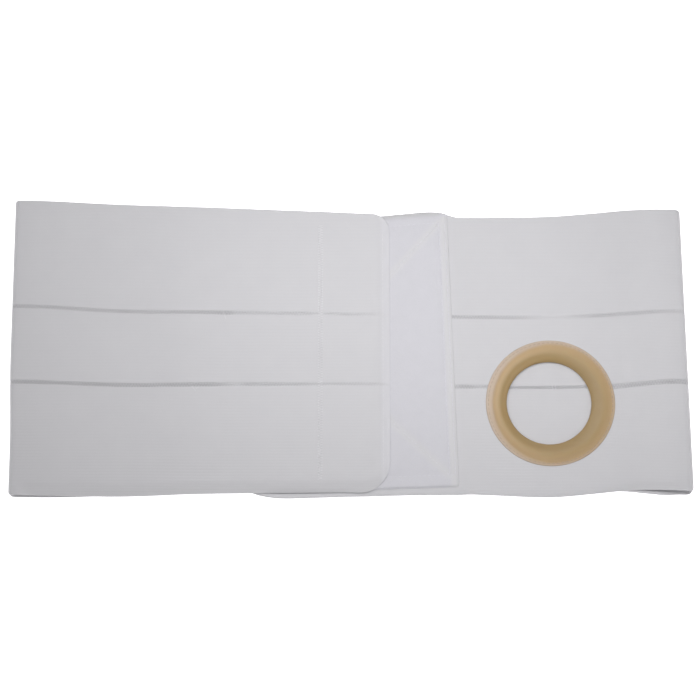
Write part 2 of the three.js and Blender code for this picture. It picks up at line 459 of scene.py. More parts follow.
    def _lay_edges(self) -> None:
        """Turns the table of edges into smooth curves along the run."""
        self.edge_runs = np.array([self.run_at(row.layer, row.x) for row in EDGE_ROWS])
        rows = [(row.top, row.upper, row.lower, row.bottom) for row in EDGE_ROWS]
        self.edge_values = np.array(rows)
        rise = self.edge_values[2:] - self.edge_values[:-2]
        reach = self.edge_runs[2:] - self.edge_runs[:-2]
        level = np.zeros((1, len(Edge)))
        self.edge_slopes = np.concatenate((level, rise / reach[:, None], level))
        self.seam_runs = [self.run_at(row.layer, row.x) for row in SEAM_ROWS]
        self.seam_shares = {
            Edge.UPPER: [row.upper for row in SEAM_ROWS],
            Edge.LOWER: [row.lower for row in SEAM_ROWS],
        }
        self.seam_spreads = [row.spread for row in SEAM_ROWS]

    def run_at(self, layer: Layer, x: float) -> float:
        """The run along the belt at a place on one layer.

        Args:
            layer: The layer.
            x: The place along X.

        Returns:
            Distance along the belt from the flap's end.
        """
        if layer is Layer.FLAP:
            return self.flap_end - x
        if layer is Layer.BACK:
            return self.back + x - self.left_x
        return self.front + self.right_x - x

    def layer_at(self, run: float) -> Layer:
        """The layer that a run lies on, with each fold counted as back.

        Args:
            run: Distance along the belt.

        Returns:
            The layer.
        """
        if run < self.left_fold:
            return Layer.FLAP
        return Layer.BACK if run < self.front else Layer.FRONT

    def edges(self, run: float) -> np.ndarray:
        """Where the edges and seams lie at a run.

        Args:
            run: Distance along the belt.

        Returns:
            Y of the top edge, the upper seam, the lower seam and the bottom edge.
        """
        if run not in self.edge_cache:
            self.edge_cache[run] = self._edges(run)
        return self.edge_cache[run]

    def _edges(self, run: float) -> np.ndarray:
        """Works out the edges at a run, drawn in at the rounded ends and at the folds.

        Args:
            run: Distance along the belt.

        Returns:
            Y of the top edge, the upper seam, the lower seam and the bottom edge.
        """
        place = min(max(run, float(self.edge_runs[0])), float(self.edge_runs[-1]))
        index = int(np.searchsorted(self.edge_runs, place, side="right")) - 1
        index = min(index, len(self.edge_runs) - 2)
        reach = self.edge_runs[index + 1] - self.edge_runs[index]
        t = (place - self.edge_runs[index]) / reach
        low, high = self.edge_values[index], self.edge_values[index + 1]
        leave, arrive = self.edge_slopes[index] * reach, self.edge_slopes[index + 1] * reach
        found = low + t * t * (3 - 2 * t) * (high - low)
        found = found + t * (1 - t) * ((1 - t) * leave - t * arrive)
        shared = self.tab_corner.cut(self.length - run)
        left_end, right_end = (self.left_fold + self.back) / 2, (self.right_fold + self.front) / 2
        shared += self.left_pinch * bell(run - left_end, self.pinch_reach)
        shared += self.right_pinch * bell(run - right_end, self.pinch_reach)
        top_cut = self.flap_top.cut(run) + shared
        bottom_cut = self.flap_bottom.cut(run) + shared
        return found + np.array((-top_cut, 0, 0, bottom_cut))

    def seam_share(self, run: float, seam: Edge) -> float:
        """How deep a seam lies at a run, as a share of the usual depth."""
        return float(np.interp(run, self.seam_runs, self.seam_shares[seam]))

    def seam_spread(self, run: float, seam: Edge) -> float:
        """How widely a seam spreads at a run.

        Args:
            run: Distance along the belt.
            seam: The seam.

        Returns:
            A share of the usual width.
        """
        if seam is not Edge.LOWER:
            return 1.0
        return float(np.interp(run, self.seam_runs, self.seam_spreads))

    def thickness(self, run: float) -> float:
        """The wall's thickness at a run as a share of the full wall, less at the flap's feathered end."""
        return self.flap_thin + (1 - self.flap_thin) * smooth(0, self.flap_feather, run)

    def hem(self, run: float) -> float:
        """How far the cloth is pressed at a run: 1 along the hem at the flap's end, 0 past it."""
        return 1 - smooth(*self.flap_hem, run)

    def section_runs(self) -> list[float]:
        """The runs at which a strip takes a new section.

        Returns:
            The runs, from 0 to the belt's length.
        """
        found = self.flap_bottom.steps(self.corner_sections)
        closing = self.tab_corner.steps(self.corner_sections)
        first, last = self.flap_bottom.along, self.length - self.tab_corner.along
        for span, start, end in zip(self.spans(), self.starts, [*self.starts[1:], self.length]):
            start, end = max(start, first), min(end, last)
            count = max(round((end - start) / span.pace), 1)
            found += [start + (end - start) * step / count for step in range(count)]
        return found + [last] + [self.length - d for d in reversed(closing)]

    def middle(self, run: float) -> tuple[float, float, float, float]:
        """The middle of the wall at a run.

        Args:
            run: Distance along the belt.

        Returns:
            X and Z of the place, and X and Z of the outward direction.
        """
        if run not in self.middle_cache:
            columns = (*self.line.T, *self.outward.T)
            found = (float(np.interp(run, self.runs, column)) for column in columns)
            self.middle_cache[run] = tuple(found)
        return self.middle_cache[run]

    def flap_drop(self, x: float) -> float:
        """How far the flap's end, with the tape under it, comes down to the panel."""
        return self.flap_droop * smooth(self.flap_droop_from, self.flap_end, x)

    def hang(self, run: float, y: float, hang: Hang) -> float:
        """How far the cloth hangs at a place, from nothing inside to its most at the bottom edge."""
        bottom = float(self.edges(run)[Edge.BOTTOM.value])
        return hang.depth * (1 - smooth(0, hang.reach, y - bottom))

    def off_left(self, x: float, reach: float) -> float:
        """Rises from 0 at the left fold to 1 at a reach from it."""
        return smooth(0, reach, x - self.left_x)

    def off_right(self, x: float, reach: float) -> float:
        """Rises from 0 at the right fold to 1 at a reach from it."""
        return smooth(0, reach, self.right_x - x)

    def from_opening(self, x: float, y: float) -> float:
        """Distance of a place from the middle of the opening."""
        return math.hypot(x - self.opening[0], y - self.opening[1])

    def swell(self, run: float, y: float) -> float:
        """How far the cloth stands out from its even course, as it lies.

        Args:
            run: Distance along the belt.
            y: Place across the width.

        Returns:
            The swell along the outward direction, below 0 where the cloth dips.
        """
        layer, x = self.layer_at(run), self.middle(run)[0]
        if layer is Layer.BACK:
            return self._back_swell(run, x, y)
        return self._flap_swell(run, x, y) if layer is Layer.FLAP else self._front_swell(run, x, y)

    def _back_swell(self, run: float, x: float, y: float) -> float:
        """The swell of the back, which rises under the opening and curls up near the right fold.

        Args:
            run: Distance along the belt.
            x: Place along X.
            y: Place across the width.

        Returns:
            The swell, below 0 where the cloth rises off the floor.
        """
        dip = self.back_wander * abs(self.wander.at(run, y))
        dip *= self.off_left(x, self.back_settled) * self.off_right(x, self.back_settled)
        lift = self.opening_lift * (1 - smooth(*self.opening_lift_reach, self.from_opening(x, y)))
        curl = self.hang(run, y, self.back_curl) * smooth(*self.right_hang_from, x)
        return -dip - lift - curl * self.off_right(x, self.back_curl_clear)

    def _flap_swell(self, run: float, x: float, y: float) -> float:
        """The swell of the flap, which droops at its end and hangs along its bottom edge.

        Args:
            run: Distance along the belt.
            x: Place along X.
            y: Place across the width.

        Returns:
            The swell, below 0 where the cloth dips.
        """
        free = smooth(*self.flap_free, x) * self.off_left(x, self.flap_settled)
        waves = self.flap_wander * self.wander.at(run, y) + self.flap_ripple * self.ripple.at(run, y)
        edge = self.left_hang.towards(self.flap_hang, smooth(*self.flap_closed, x))
        hang = self.hang(run, y, edge) * self.off_left(x, self.left_hang_clear)
        drop = self.flap_drop(x)
        drop += hang * (1 - drop / self.flap_droop)
        sink = self.wall / 2 * (1 - self.thickness(run))
        return free * waves - drop - sink

    def _front_swell(self, run: float, x: float, y: float) -> float:
        """The swell of the front, with its dent, its hanging edge and the tab's curled edge.

        Args:
            run: Distance along the belt.
            x: Place along X.
            y: Place across the width.

        Returns:
            The swell, below 0 where the cloth dips.
        """
        free = smooth(*self.front_free, x) * self.off_right(x, self.front_settled)
        free *= smooth(*self.ring_free, self.from_opening(x, y))
        waves = self.front_wander * self.wander.at(run, y) + self.front_ripple * self.ripple.at(run, y)
        dent = self.dent_depth * bell(x - self.dent[0], self.dent_reach[0])
        dent *= bell(y - self.dent[1], self.dent_reach[1])
        hang = self.hang(run, y, self.right_hang) * smooth(*self.right_hang_from, x)
        hang *= self.off_right(x, self.right_hang_clear)
        curl = self.hang(run, y, self.tab_curl) * smooth(*self.tab_curl_from, x)
        curl *= 1 - smooth(*self.tab_curl_to, x)
        return free * waves - dent - hang + curl

    def place(self, run: float, y: float, depth: float) -> Vector:
        """A point of the belt in the shared frame.

        Args:
            run: Distance along the belt.
            y: Place across the width.
            depth: Distance outward from the middle of the wall.

        Returns:
            The point, in metres.
        """
        x, z, out_x, out_z = self.middle(run)
        reach = depth + self.swell(run, y)
        place = Vector((x + out_x * reach + self.lean(x, y), y, z + out_z * reach))
        return (place + self.shift) * MM

    def lean(self, x: float, y: float) -> float:
        """How far a place is drawn along the belt where a fold leans.

        Args:
            x: Place along the belt.
            y: Place across its width.

        Returns:
            The offset along X.
        """
        left = self.left_lean * smooth(*self.left_lean_y, -y)
        right = -self.right_lean * (y - self.right_lean_y)
        near_left = smooth(-self.left_lean_from, -self.left_x, -x)
        near_right = smooth(self.right_lean_from, self.right_x, x)
        return left * near_left + right * near_right

    def direction(self, run: float) -> Vector:
        """The outward direction at a run."""
        _, _, out_x, out_z = self.middle(run)
        return Vector((out_x, 0, out_z))


@dataclass(frozen=True)
class Mottle:
    """How fine an unevenness is: its scale, in patches to the metre, and its detail."""

    scale: float
    detail: float


class NodeBoard:
    """A node tree, with short ways to add nodes and join them."""

    MIX_SHARE, MIX_FIRST, MIX_SECOND, MIX_COLOUR = 0, 6, 7, 2

    def __init__(self, tree: bpy.types.NodeTree) -> None:
        """Takes over a tree.

        Args:
            tree: The tree to add to.
        """
        self.tree = tree

    def add(self, kind: str, **settings: object) -> bpy.types.Node:
        """Adds a node.

        Args:
            kind: Blender's name for the node.
            **settings: Properties to set on it.

        Returns:
            The node.
        """
        node = self.tree.nodes.new(kind)
        for name, value in settings.items():
            setattr(node, name, value)
        return node

    def feed(self, target: bpy.types.NodeSocket, value: object) -> None:
        """Sets a socket to a value, or joins another node's socket to it.

        Args:
            target: The socket.
            value: The value, or the other node's socket.
        """
        if isinstance(value, bpy.types.NodeSocket):
            self.tree.links.new(value, target)
        else:
            target.default_value = value

    def math(self, operation: str, *values: object) -> bpy.types.NodeSocket:
        """Adds a Math node.

        Args:
            operation: Blender's name for the sum.
            *values: A number or a socket for each input.

        Returns:
            The node's result.
        """
        node = self.add("ShaderNodeMath", operation=operation)
        for socket, value in zip(node.inputs, values):
            self.feed(socket, value)
        return node.outputs[0]

    def wave(self, place: object, pitch: object, offset: object = 0.0) -> bpy.types.NodeSocket:
        """A cosine from 0 to 1 that repeats along a place.

        Args:
            place: The place.
            pitch: Distance from one crest to the next.
            offset: Share of a pitch by which it is moved along.

        Returns:
            The height of the wave.
        """
        phase = self.math("ADD", self.math("DIVIDE", place, pitch), offset)
        swing = self.math("COSINE", self.math("MULTIPLY", phase, TURN))
        return self.math("MULTIPLY_ADD", swing, HALF, HALF)

    def blend(
        self, share: object, first: object, second: object, mode: str = "MIX"
    ) -> bpy.types.NodeSocket:
        """Mixes two colours.

        Args:
            share: Share of the second.
            first: The first colour.
            second: The second colour.
            mode: Blender's name for the way they mix.

        Returns:
            The mixed colour.
        """
        node = self.add("ShaderNodeMix", data_type="RGBA", blend_type=mode)
        self.feed(node.inputs[self.MIX_SHARE], share)
        self.feed(node.inputs[self.MIX_FIRST], first)
        self.feed(node.inputs[self.MIX_SECOND], second)
        return node.outputs[self.MIX_COLOUR]

    def group(self, tree: bpy.types.NodeTree, **values: object) -> bpy.types.Node:
        """Places a node group.

        Args:
            tree: The group's tree.
            **values: A number or a socket for each input, with spaces written as _.

        Returns:
            The group node.
        """
        node = self.add("ShaderNodeGroup", node_tree=tree)
        for name, value in values.items():
            self.feed(node.inputs[name.replace("_", " ")], value)
        return node

    def own_place(self) -> bpy.types.NodeSocket:
        """The place on the piece itself, in metres."""
        return self.add("ShaderNodeTexCoord").outputs["Object"]

    def carried(self, name: str) -> bpy.types.NodeSocket:
        """A number that the piece's mesh carries."""
        return self.add("ShaderNodeAttribute", attribute_name=name).outputs["Fac"]

    def mottle(self, place: object, grain: Mottle) -> bpy.types.NodeSocket:
        """Soft unevenness at a place, from 0 to 1."""
        return self.group(MOTTLE, Vector=place, Scale=grain.scale, Detail=grain.detail).outputs[0]


@dataclass(frozen=True)
class GroupSocket:
    """A socket of a node group."""

    name: str
    kind: str = "NodeSocketFloat"


GroupEnds = tuple[NodeBoard, bpy.types.Node, bpy.types.Node]


def new_group(name: str, takes: tuple[GroupSocket, ...], gives: tuple[GroupSocket, ...]) -> GroupEnds:
    """Starts a shader node group.

    Args:
        name: The group's name.
        takes: Its inputs.
        gives: Its outputs.

    Returns:
        The board of its tree, its input node and its output node.
    """
    tree = bpy.data.node_groups.new(name, "ShaderNodeTree")
    for sockets, way in ((takes, "INPUT"), (gives, "OUTPUT")):
        for socket in sockets:
            tree.interface.new_socket(socket.name, in_out=way, socket_type=socket.kind)
    board = NodeBoard(tree)
    return board, board.add("NodeGroupInput"), board.add("NodeGroupOutput")


PICK_STAGGER = 0.5
PICK_SHARE = 0.45
MOTTLE_ROUGHNESS = 0.6


def knit_group() -> bpy.types.NodeTree:
    """Ribs of covered rubber along the cloth, crossed by fine knitted picks.

    Returns:
        The group, which gives the height of the knit from 0 to 1.
    """
    takes = (GroupSocket("Vector", "NodeSocketVector"), GroupSocket("Rib Pitch"), GroupSocket("Pick Pitch"))
    board, inlet, outlet = new_group("knit_ribs", takes, (GroupSocket("Height"),))
    place = board.add("ShaderNodeSeparateXYZ")
    board.feed(place.inputs[0], inlet.outputs["Vector"])
    along, across = place.outputs[0], place.outputs[1]
    rib_pitch, pick_pitch = inlet.outputs["Rib Pitch"], inlet.outputs["Pick Pitch"]
    rib = board.wave(across, rib_pitch)
    row = board.math("FLOOR", board.math("DIVIDE", across, rib_pitch))
    pick = board.wave(along, pick_pitch, board.math("MULTIPLY", row, PICK_STAGGER))
    crossed = board.math("MULTIPLY_ADD", pick, PICK_SHARE, 1 - PICK_SHARE)
    board.feed(outlet.inputs["Height"], board.math("MULTIPLY", rib, crossed))
    return board.tree


def mottle_group() -> bpy.types.NodeTree:
    """Soft unevenness of a surface.

    Returns:
        The group, which gives a value from 0 to 1 around a middle of a half.
    """
    takes = (GroupSocket("Vector", "NodeSocketVector"), GroupSocket("Scale"), GroupSocket("Detail"))
    board, inlet, outlet = new_group("soft_mottle", takes, (GroupSocket("Value"),))
    cloud = board.add("ShaderNodeTexNoise")
    cloud.inputs["Roughness"].default_value = MOTTLE_ROUGHNESS
    for name in ("Vector", "Scale", "Detail"):
        board.feed(cloud.inputs[name], inlet.outputs[name])
    board.feed(outlet.inputs["Value"], cloud.outputs[0])
    return board.tree


KNIT = knit_group()
MOTTLE = mottle_group()


@dataclass(frozen=True)
class Finish:
    """What every finish has: a name and how rough it is."""

    name: str
    roughness: float

    def begin(self) -> tuple[NodeBoard, bpy.types.Node, bpy.types.Material]:
        """Starts the material.

        Returns:
            Its board, its shader and the material.
        """
        material = bpy.data.materials.new(self.name)
        material.use_nodes = True
        shader = material.node_tree.nodes["Principled BSDF"]
        shader.inputs["Roughness"].default_value = self.roughness
        shader.inputs["Metallic"].default_value = 0.0
        return NodeBoard(material.node_tree), shader, material

    def relief(self, board: NodeBoard, shader: bpy.types.Node, height: object, depth: float) -> None:
        """Raises a height off the surface.

        Args:
            board: The material's board.
            shader: Its shader.
            height: The height, from 0 to 1.
            depth: What a height of 1 stands for, in millimetres.
        """
        bump = board.add("ShaderNodeBump")
        bump.inputs["Distance"].default_value = depth * MM
        board.feed(bump.inputs["Height"], height)
        board.feed(shader.inputs["Normal"], bump.outputs[0])


@dataclass(frozen=True)
class ElasticFinish(Finish):
    """White knitted elastic: ribs along the belt, picks across and a faint unevenness.

    It is thin and grey at a seam's web, where the darker colour is partly its own and partly painted shade
    of the seam's groove, and pressed pale along the flap's hem.
    """

    name: str = "knitted_elastic"
    roughness: float = 0.92
    crown: Colour = srgb(214, 213, 216)
    valley: Colour = srgb(209, 208, 211)
    # The web's own thin grey, darkened further as painted shade of the seam's groove.
    web: Colour = srgb(194, 193, 196)
    pressed: Colour = srgb(217, 216, 220)
    shade: Colour = srgb(250, 250, 251)
    rib_pitch: float = 1.05
    pick_pitch: float = 0.9
    rib_depth: float = 0.05
    cloud: Mottle = Mottle(55.0, 5.0)
    sheen: float = 0.1

    def material(self) -> bpy.types.Material:
        """Makes the material.

        Returns:
            The material.
        """
        board, shader, material = self.begin()
        shader.inputs["Sheen Weight"].default_value = self.sheen
        flat = board.add("ShaderNodeUVMap", uv_map=UV_NAME).outputs[0]
        pitches = {"Rib_Pitch": self.rib_pitch * MM, "Pick_Pitch": self.pick_pitch * MM}
        height = board.group(KNIT, Vector=flat, **pitches).outputs[0]
        cloud = board.mottle(flat, self.cloud)
        knit = board.blend(height, self.valley, self.crown)
        # The web's grey is partly its own colour and partly painted shade of the groove.
        thin = board.carried(WEB_SHADE_AND_HEM_NAME)
        knit = board.blend(thin, knit, self.web)
        knit = board.blend(board.math("MULTIPLY", thin, -1.0), knit, self.pressed)
        board.feed(shader.inputs["Base Color"], board.blend(cloud, knit, self.shade, "MULTIPLY"))
        self.relief(board, shader, height, self.rib_depth)
        return material


@dataclass(frozen=True)
class PileFinish(Finish):
    """Brushed white loop pile with a cold tint.

    It is bare along its side, pressed pale along its diagonals and darkened along its top by painted shade
    of the rounded top edge.
    """

    name: str = "brushed_loop_pile"
    roughness: float = 0.97
    crown: Colour = srgb(212, 211, 217)
    valley: Colour = srgb(204, 203, 209)
    bare: Colour = srgb(214, 213, 216)
    # Painted shade of the rounded top edge, not a colour of the pile.
    painted_top_shade: Colour = srgb(197, 196, 198)
    pile_depth: float = 0.2
    fuzz: Mottle = Mottle(1400.0, 4.0)
    nap: Mottle = Mottle(160.0, 3.0)
    nap_share: float = 0.6
    sheen: float = 0.15

    def material(self) -> bpy.types.Material:
        """Makes the material.

        Returns:
            The material.
        """
        board, shader, material = self.begin()
        shader.inputs["Sheen Weight"].default_value = self.sheen
        place = board.own_place()
        nap = board.math("MULTIPLY", board.mottle(place, self.nap), self.nap_share)
        height = board.math("ADD", board.mottle(place, self.fuzz), nap)
        # The carried value holds the bare side, the pressed diagonals and, below 0, painted shade along the
        # top edge.
        rim = board.carried(SELVEDGE_AND_SHADE_NAME)
        brushed = board.blend(height, self.valley, self.crown)
        sided = board.blend(rim, brushed, self.bare)
        # Below 0 the carried value lays painted shade along the top edge.
        with_painted_top_shade = board.blend(board.math("MULTIPLY", rim, -1.0), sided, self.painted_top_shade)
        board.feed(shader.inputs["Base Color"], with_painted_top_shade)
        self.relief(board, shader, height, self.pile_depth)
        return material


@dataclass(frozen=True)
class CloudedFinish(Finish):
    """One colour clouded with another, in a fine grain that also stands off the surface."""

    body: Colour
    cloudy: Colour
    grain: Mottle
    grain_depth: float

    def material(self) -> bpy.types.Material:
        """Makes the material.

        Returns:
            The material.
        """
        board, shader, material = self.begin()
        cloud = board.mottle(board.own_place(), self.grain)
        board.feed(shader.inputs["Base Color"], board.blend(cloud, self.body, self.cloudy))
        self.relief(board, shader, cloud, self.grain_depth)
        return material


@dataclass(frozen=True)
class MouldedFinish(CloudedFinish):
    """Smooth moulded plastic with a faint cloudiness."""

    name: str = "hook_tape"
    roughness: float = 0.6
    body: Colour = srgb(222, 222, 226)
    cloudy: Colour = srgb(206, 206, 211)
    grain: Mottle = Mottle(900.0, 2.0)
    grain_depth: float = 0.05


@dataclass(frozen=True)
class ThreadFinish(CloudedFinish):
    """Spun polyester sewing thread, clouded by its twist."""

    name: str = "white_thread"
    roughness: float = 0.7
    body: Colour = srgb(228, 227, 230)
    cloudy: Colour = srgb(218, 217, 220)
    grain: Mottle = Mottle(2600.0, 2.0)
    grain_depth: float = 0.06


SEAM_THREAD = ThreadFinish("seam_thread", body=srgb(214, 213, 216), cloudy=srgb(207, 206, 209))
PANEL_THREAD = ThreadFinish("panel_thread", body=srgb(224, 223, 230), cloudy=srgb(214, 213, 221))
FLANGE_THREAD = ThreadFinish("flange_thread", body=srgb(184, 164, 146), cloudy=srgb(162, 142, 124))


@dataclass(frozen=True)
class VinylFinish(Finish):
    """Soft tan vinyl: darker down the throat, paler where the thin flange lets the cloth through, with
    painted shade and light by side.
    """

    name: str = "tan_soft_vinyl"
    roughness: float = 0.46
    deep: Colour = srgb(165, 142, 102)
    throat: Colour = srgb(172, 147, 101)
    crest: Colour = srgb(195, 169, 131)
    flange: Colour = srgb(202, 186, 172)
    cloudy: Colour = srgb(240, 232, 222)
    deep_reach: tuple[float, float] = (31.5, 35.5)
    throat_reach: tuple[float, float] = (33.5, 39.8)
    flange_reach: tuple[float, float] = (39.5, 44.0)
    wander: float = 1.2
    cloud: Mottle = Mottle(90.0, 4.0)
    grain: Mottle = Mottle(700.0, 3.0)
    grain_depth: float = 0.05
    glow_weight: float = 0.12
    glow_radius: tuple[float, float, float] = (0.004, 0.002, 0.001)
    glow_scale: float = 0.5

    def material(self) -> bpy.types.Material:
        """Makes the material.

        Returns:
            The material.
        """
        board, shader, material = self.begin()
        shader.inputs["Subsurface Weight"].default_value = self.glow_weight
        shader.inputs["Subsurface Radius"].default_value = self.glow_radius
        shader.inputs["Subsurface Scale"].default_value = self.glow_scale
        place = board.own_place()
        cloud = board.mottle(place, self.cloud)
        wander = board.math("MULTIPLY_ADD", cloud, 2 * self.wander, -self.wander)
        # The carried grade is shifted by side: painted shade on the lower right, painted light on the upper
        # left of the throat.
        radius = board.math("ADD", board.carried(GRADE_AND_SHADE_NAME), wander)
        colour = self.step(board, radius, self.deep_reach, self.deep, self.throat)
        colour = self.step(board, radius, self.throat_reach, colour, self.crest)
        colour = self.step(board, radius, self.flange_reach, colour, self.flange)
        colour = board.blend(cloud, colour, board.blend(1.0, colour, self.cloudy, "MULTIPLY"))
        board.feed(shader.inputs["Base Color"], colour)
        self.relief(board, shader, board.mottle(place, self.grain), self.grain_depth)
        return material

    def step(
        self, board: NodeBoard, radius: object, reach: tuple[float, float], inner: object, outer: object
    ) -> bpy.types.NodeSocket:
        """Changes from one colour to another between two radii.

        Args:
            board: The material's board.
            radius: Distance from the ring's axis, in millimetres.
            reach: Where the change begins and ends.
            inner: The colour inside.
            outer: The colour outside.

        Returns:
            The mixed colour.
        """
        share = board.add("ShaderNodeMapRange", interpolation_type="SMOOTHSTEP")
        board.feed(share.inputs["Value"], radius)
        share.inputs["From Min"].default_value, share.inputs["From Max"].default_value = reach
        return board.blend(share.outputs[0], inner, outer)


def mesh_from(bm: bmesh.types.BMesh, name: str) -> bpy.types.Mesh:
    """Turns a bmesh into a mesh and frees it.

    Args:
        bm: The bmesh.
        name: The mesh's name.

    Returns:
        The mesh.
    """
    mesh = bpy.data.meshes.new(name)
    bm.to_mesh(mesh)
    bm.free()
    return mesh


def put_in_scene(name: str, data: bpy.types.ID) -> bpy.types.Object:
    """Puts a mesh, a light or a camera into the scene, at the origin.

    Args:
        name: The object's name.
        data: What it holds.

    Returns:
        The object.
    """
    added = bpy.data.objects.new(name, data)
    bpy.context.scene.collection.objects.link(added)
    return added


def piece_from(bm: bmesh.types.BMesh, name: str, material: bpy.types.Material) -> bpy.types.Object:
    """Turns a finished bmesh into a piece of the belt that faces outwards.

    Args:
        bm: The bmesh, which is freed.
        name: The piece's name.
        material: Its material.

    Returns:
        The piece, riding on the belt's one body.
    """
    if bm.calc_volume(signed=True) < 0:
        bmesh.ops.reverse_faces(bm, faces=bm.faces[:])
    mesh = mesh_from(bm, name)
    mesh.shade_smooth()
    mesh.materials.append(material)
    piece = put_in_scene(name, mesh)
    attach(piece, "root")
    return piece


def flat_grid(columns: int, rows: int) -> bmesh.types.BMesh:
    """A flat grid, one unit each way about the origin, for bending into a cloth wall.

    Args:
        columns: Cells along X.
        rows: Cells along Y.

    Returns:
        The grid, which close_slab gives its thickness.
    """
    bm = bmesh.new()
    bmesh.ops.create_grid(bm, x_segments=columns, y_segments=rows, size=HALF)
    return bm


def grid_item(items: list[float], place: float) -> float:
    """The item that stands at a place on a flat grid, whose places run from -0.5 to 0.5."""
    return items[round((place + HALF) * (len(items) - 1))]


def close_slab(bm: bmesh.types.BMesh) -> None:
    """Gives a flat grid its second face, one unit above the first, and its rim.

    Args:
        bm: The grid.
    """
    grown = bmesh.ops.extrude_face_region(bm, geom=bm.faces[:], use_keep_orig=True)
    verts = [item for item in grown["geom"] if isinstance(item, bmesh.types.BMVert)]
    bmesh.ops.translate(bm, verts=verts, vec=UP)
    bmesh.ops.recalc_face_normals(bm, faces=bm.faces[:])


def edge_shares(
    width: float, first: tuple[float, ...], last: tuple[float, ...], pace: float
) -> list[float]:
    """Places across a width that are close together at its edges.

    Args:
        width: The width.
        first: Distances from the first edge that are always there.
        last: Distances from the last edge that are always there.
        pace: Distance between the rest.

    Returns:
        Shares of the width from 0 to 1.
    """
    inner = width - first[-1] - last[-1]
    count = max(round(inner / pace), 1)
    middle = [first[-1] + inner * step / count for step in range(1, count)]
    places = [*first, *middle, *(width - distance for distance in reversed(last))]
    return [place / width for place in places]


SELVEDGE_STEPS = (0.0, 0.15, 0.45, 0.95, 1.7, 3.0)
SEAM_STEPS = (0.0, 0.3, 0.6, 0.85, 1.05, 1.25, 1.5, 2.0, 2.6, 3.4)


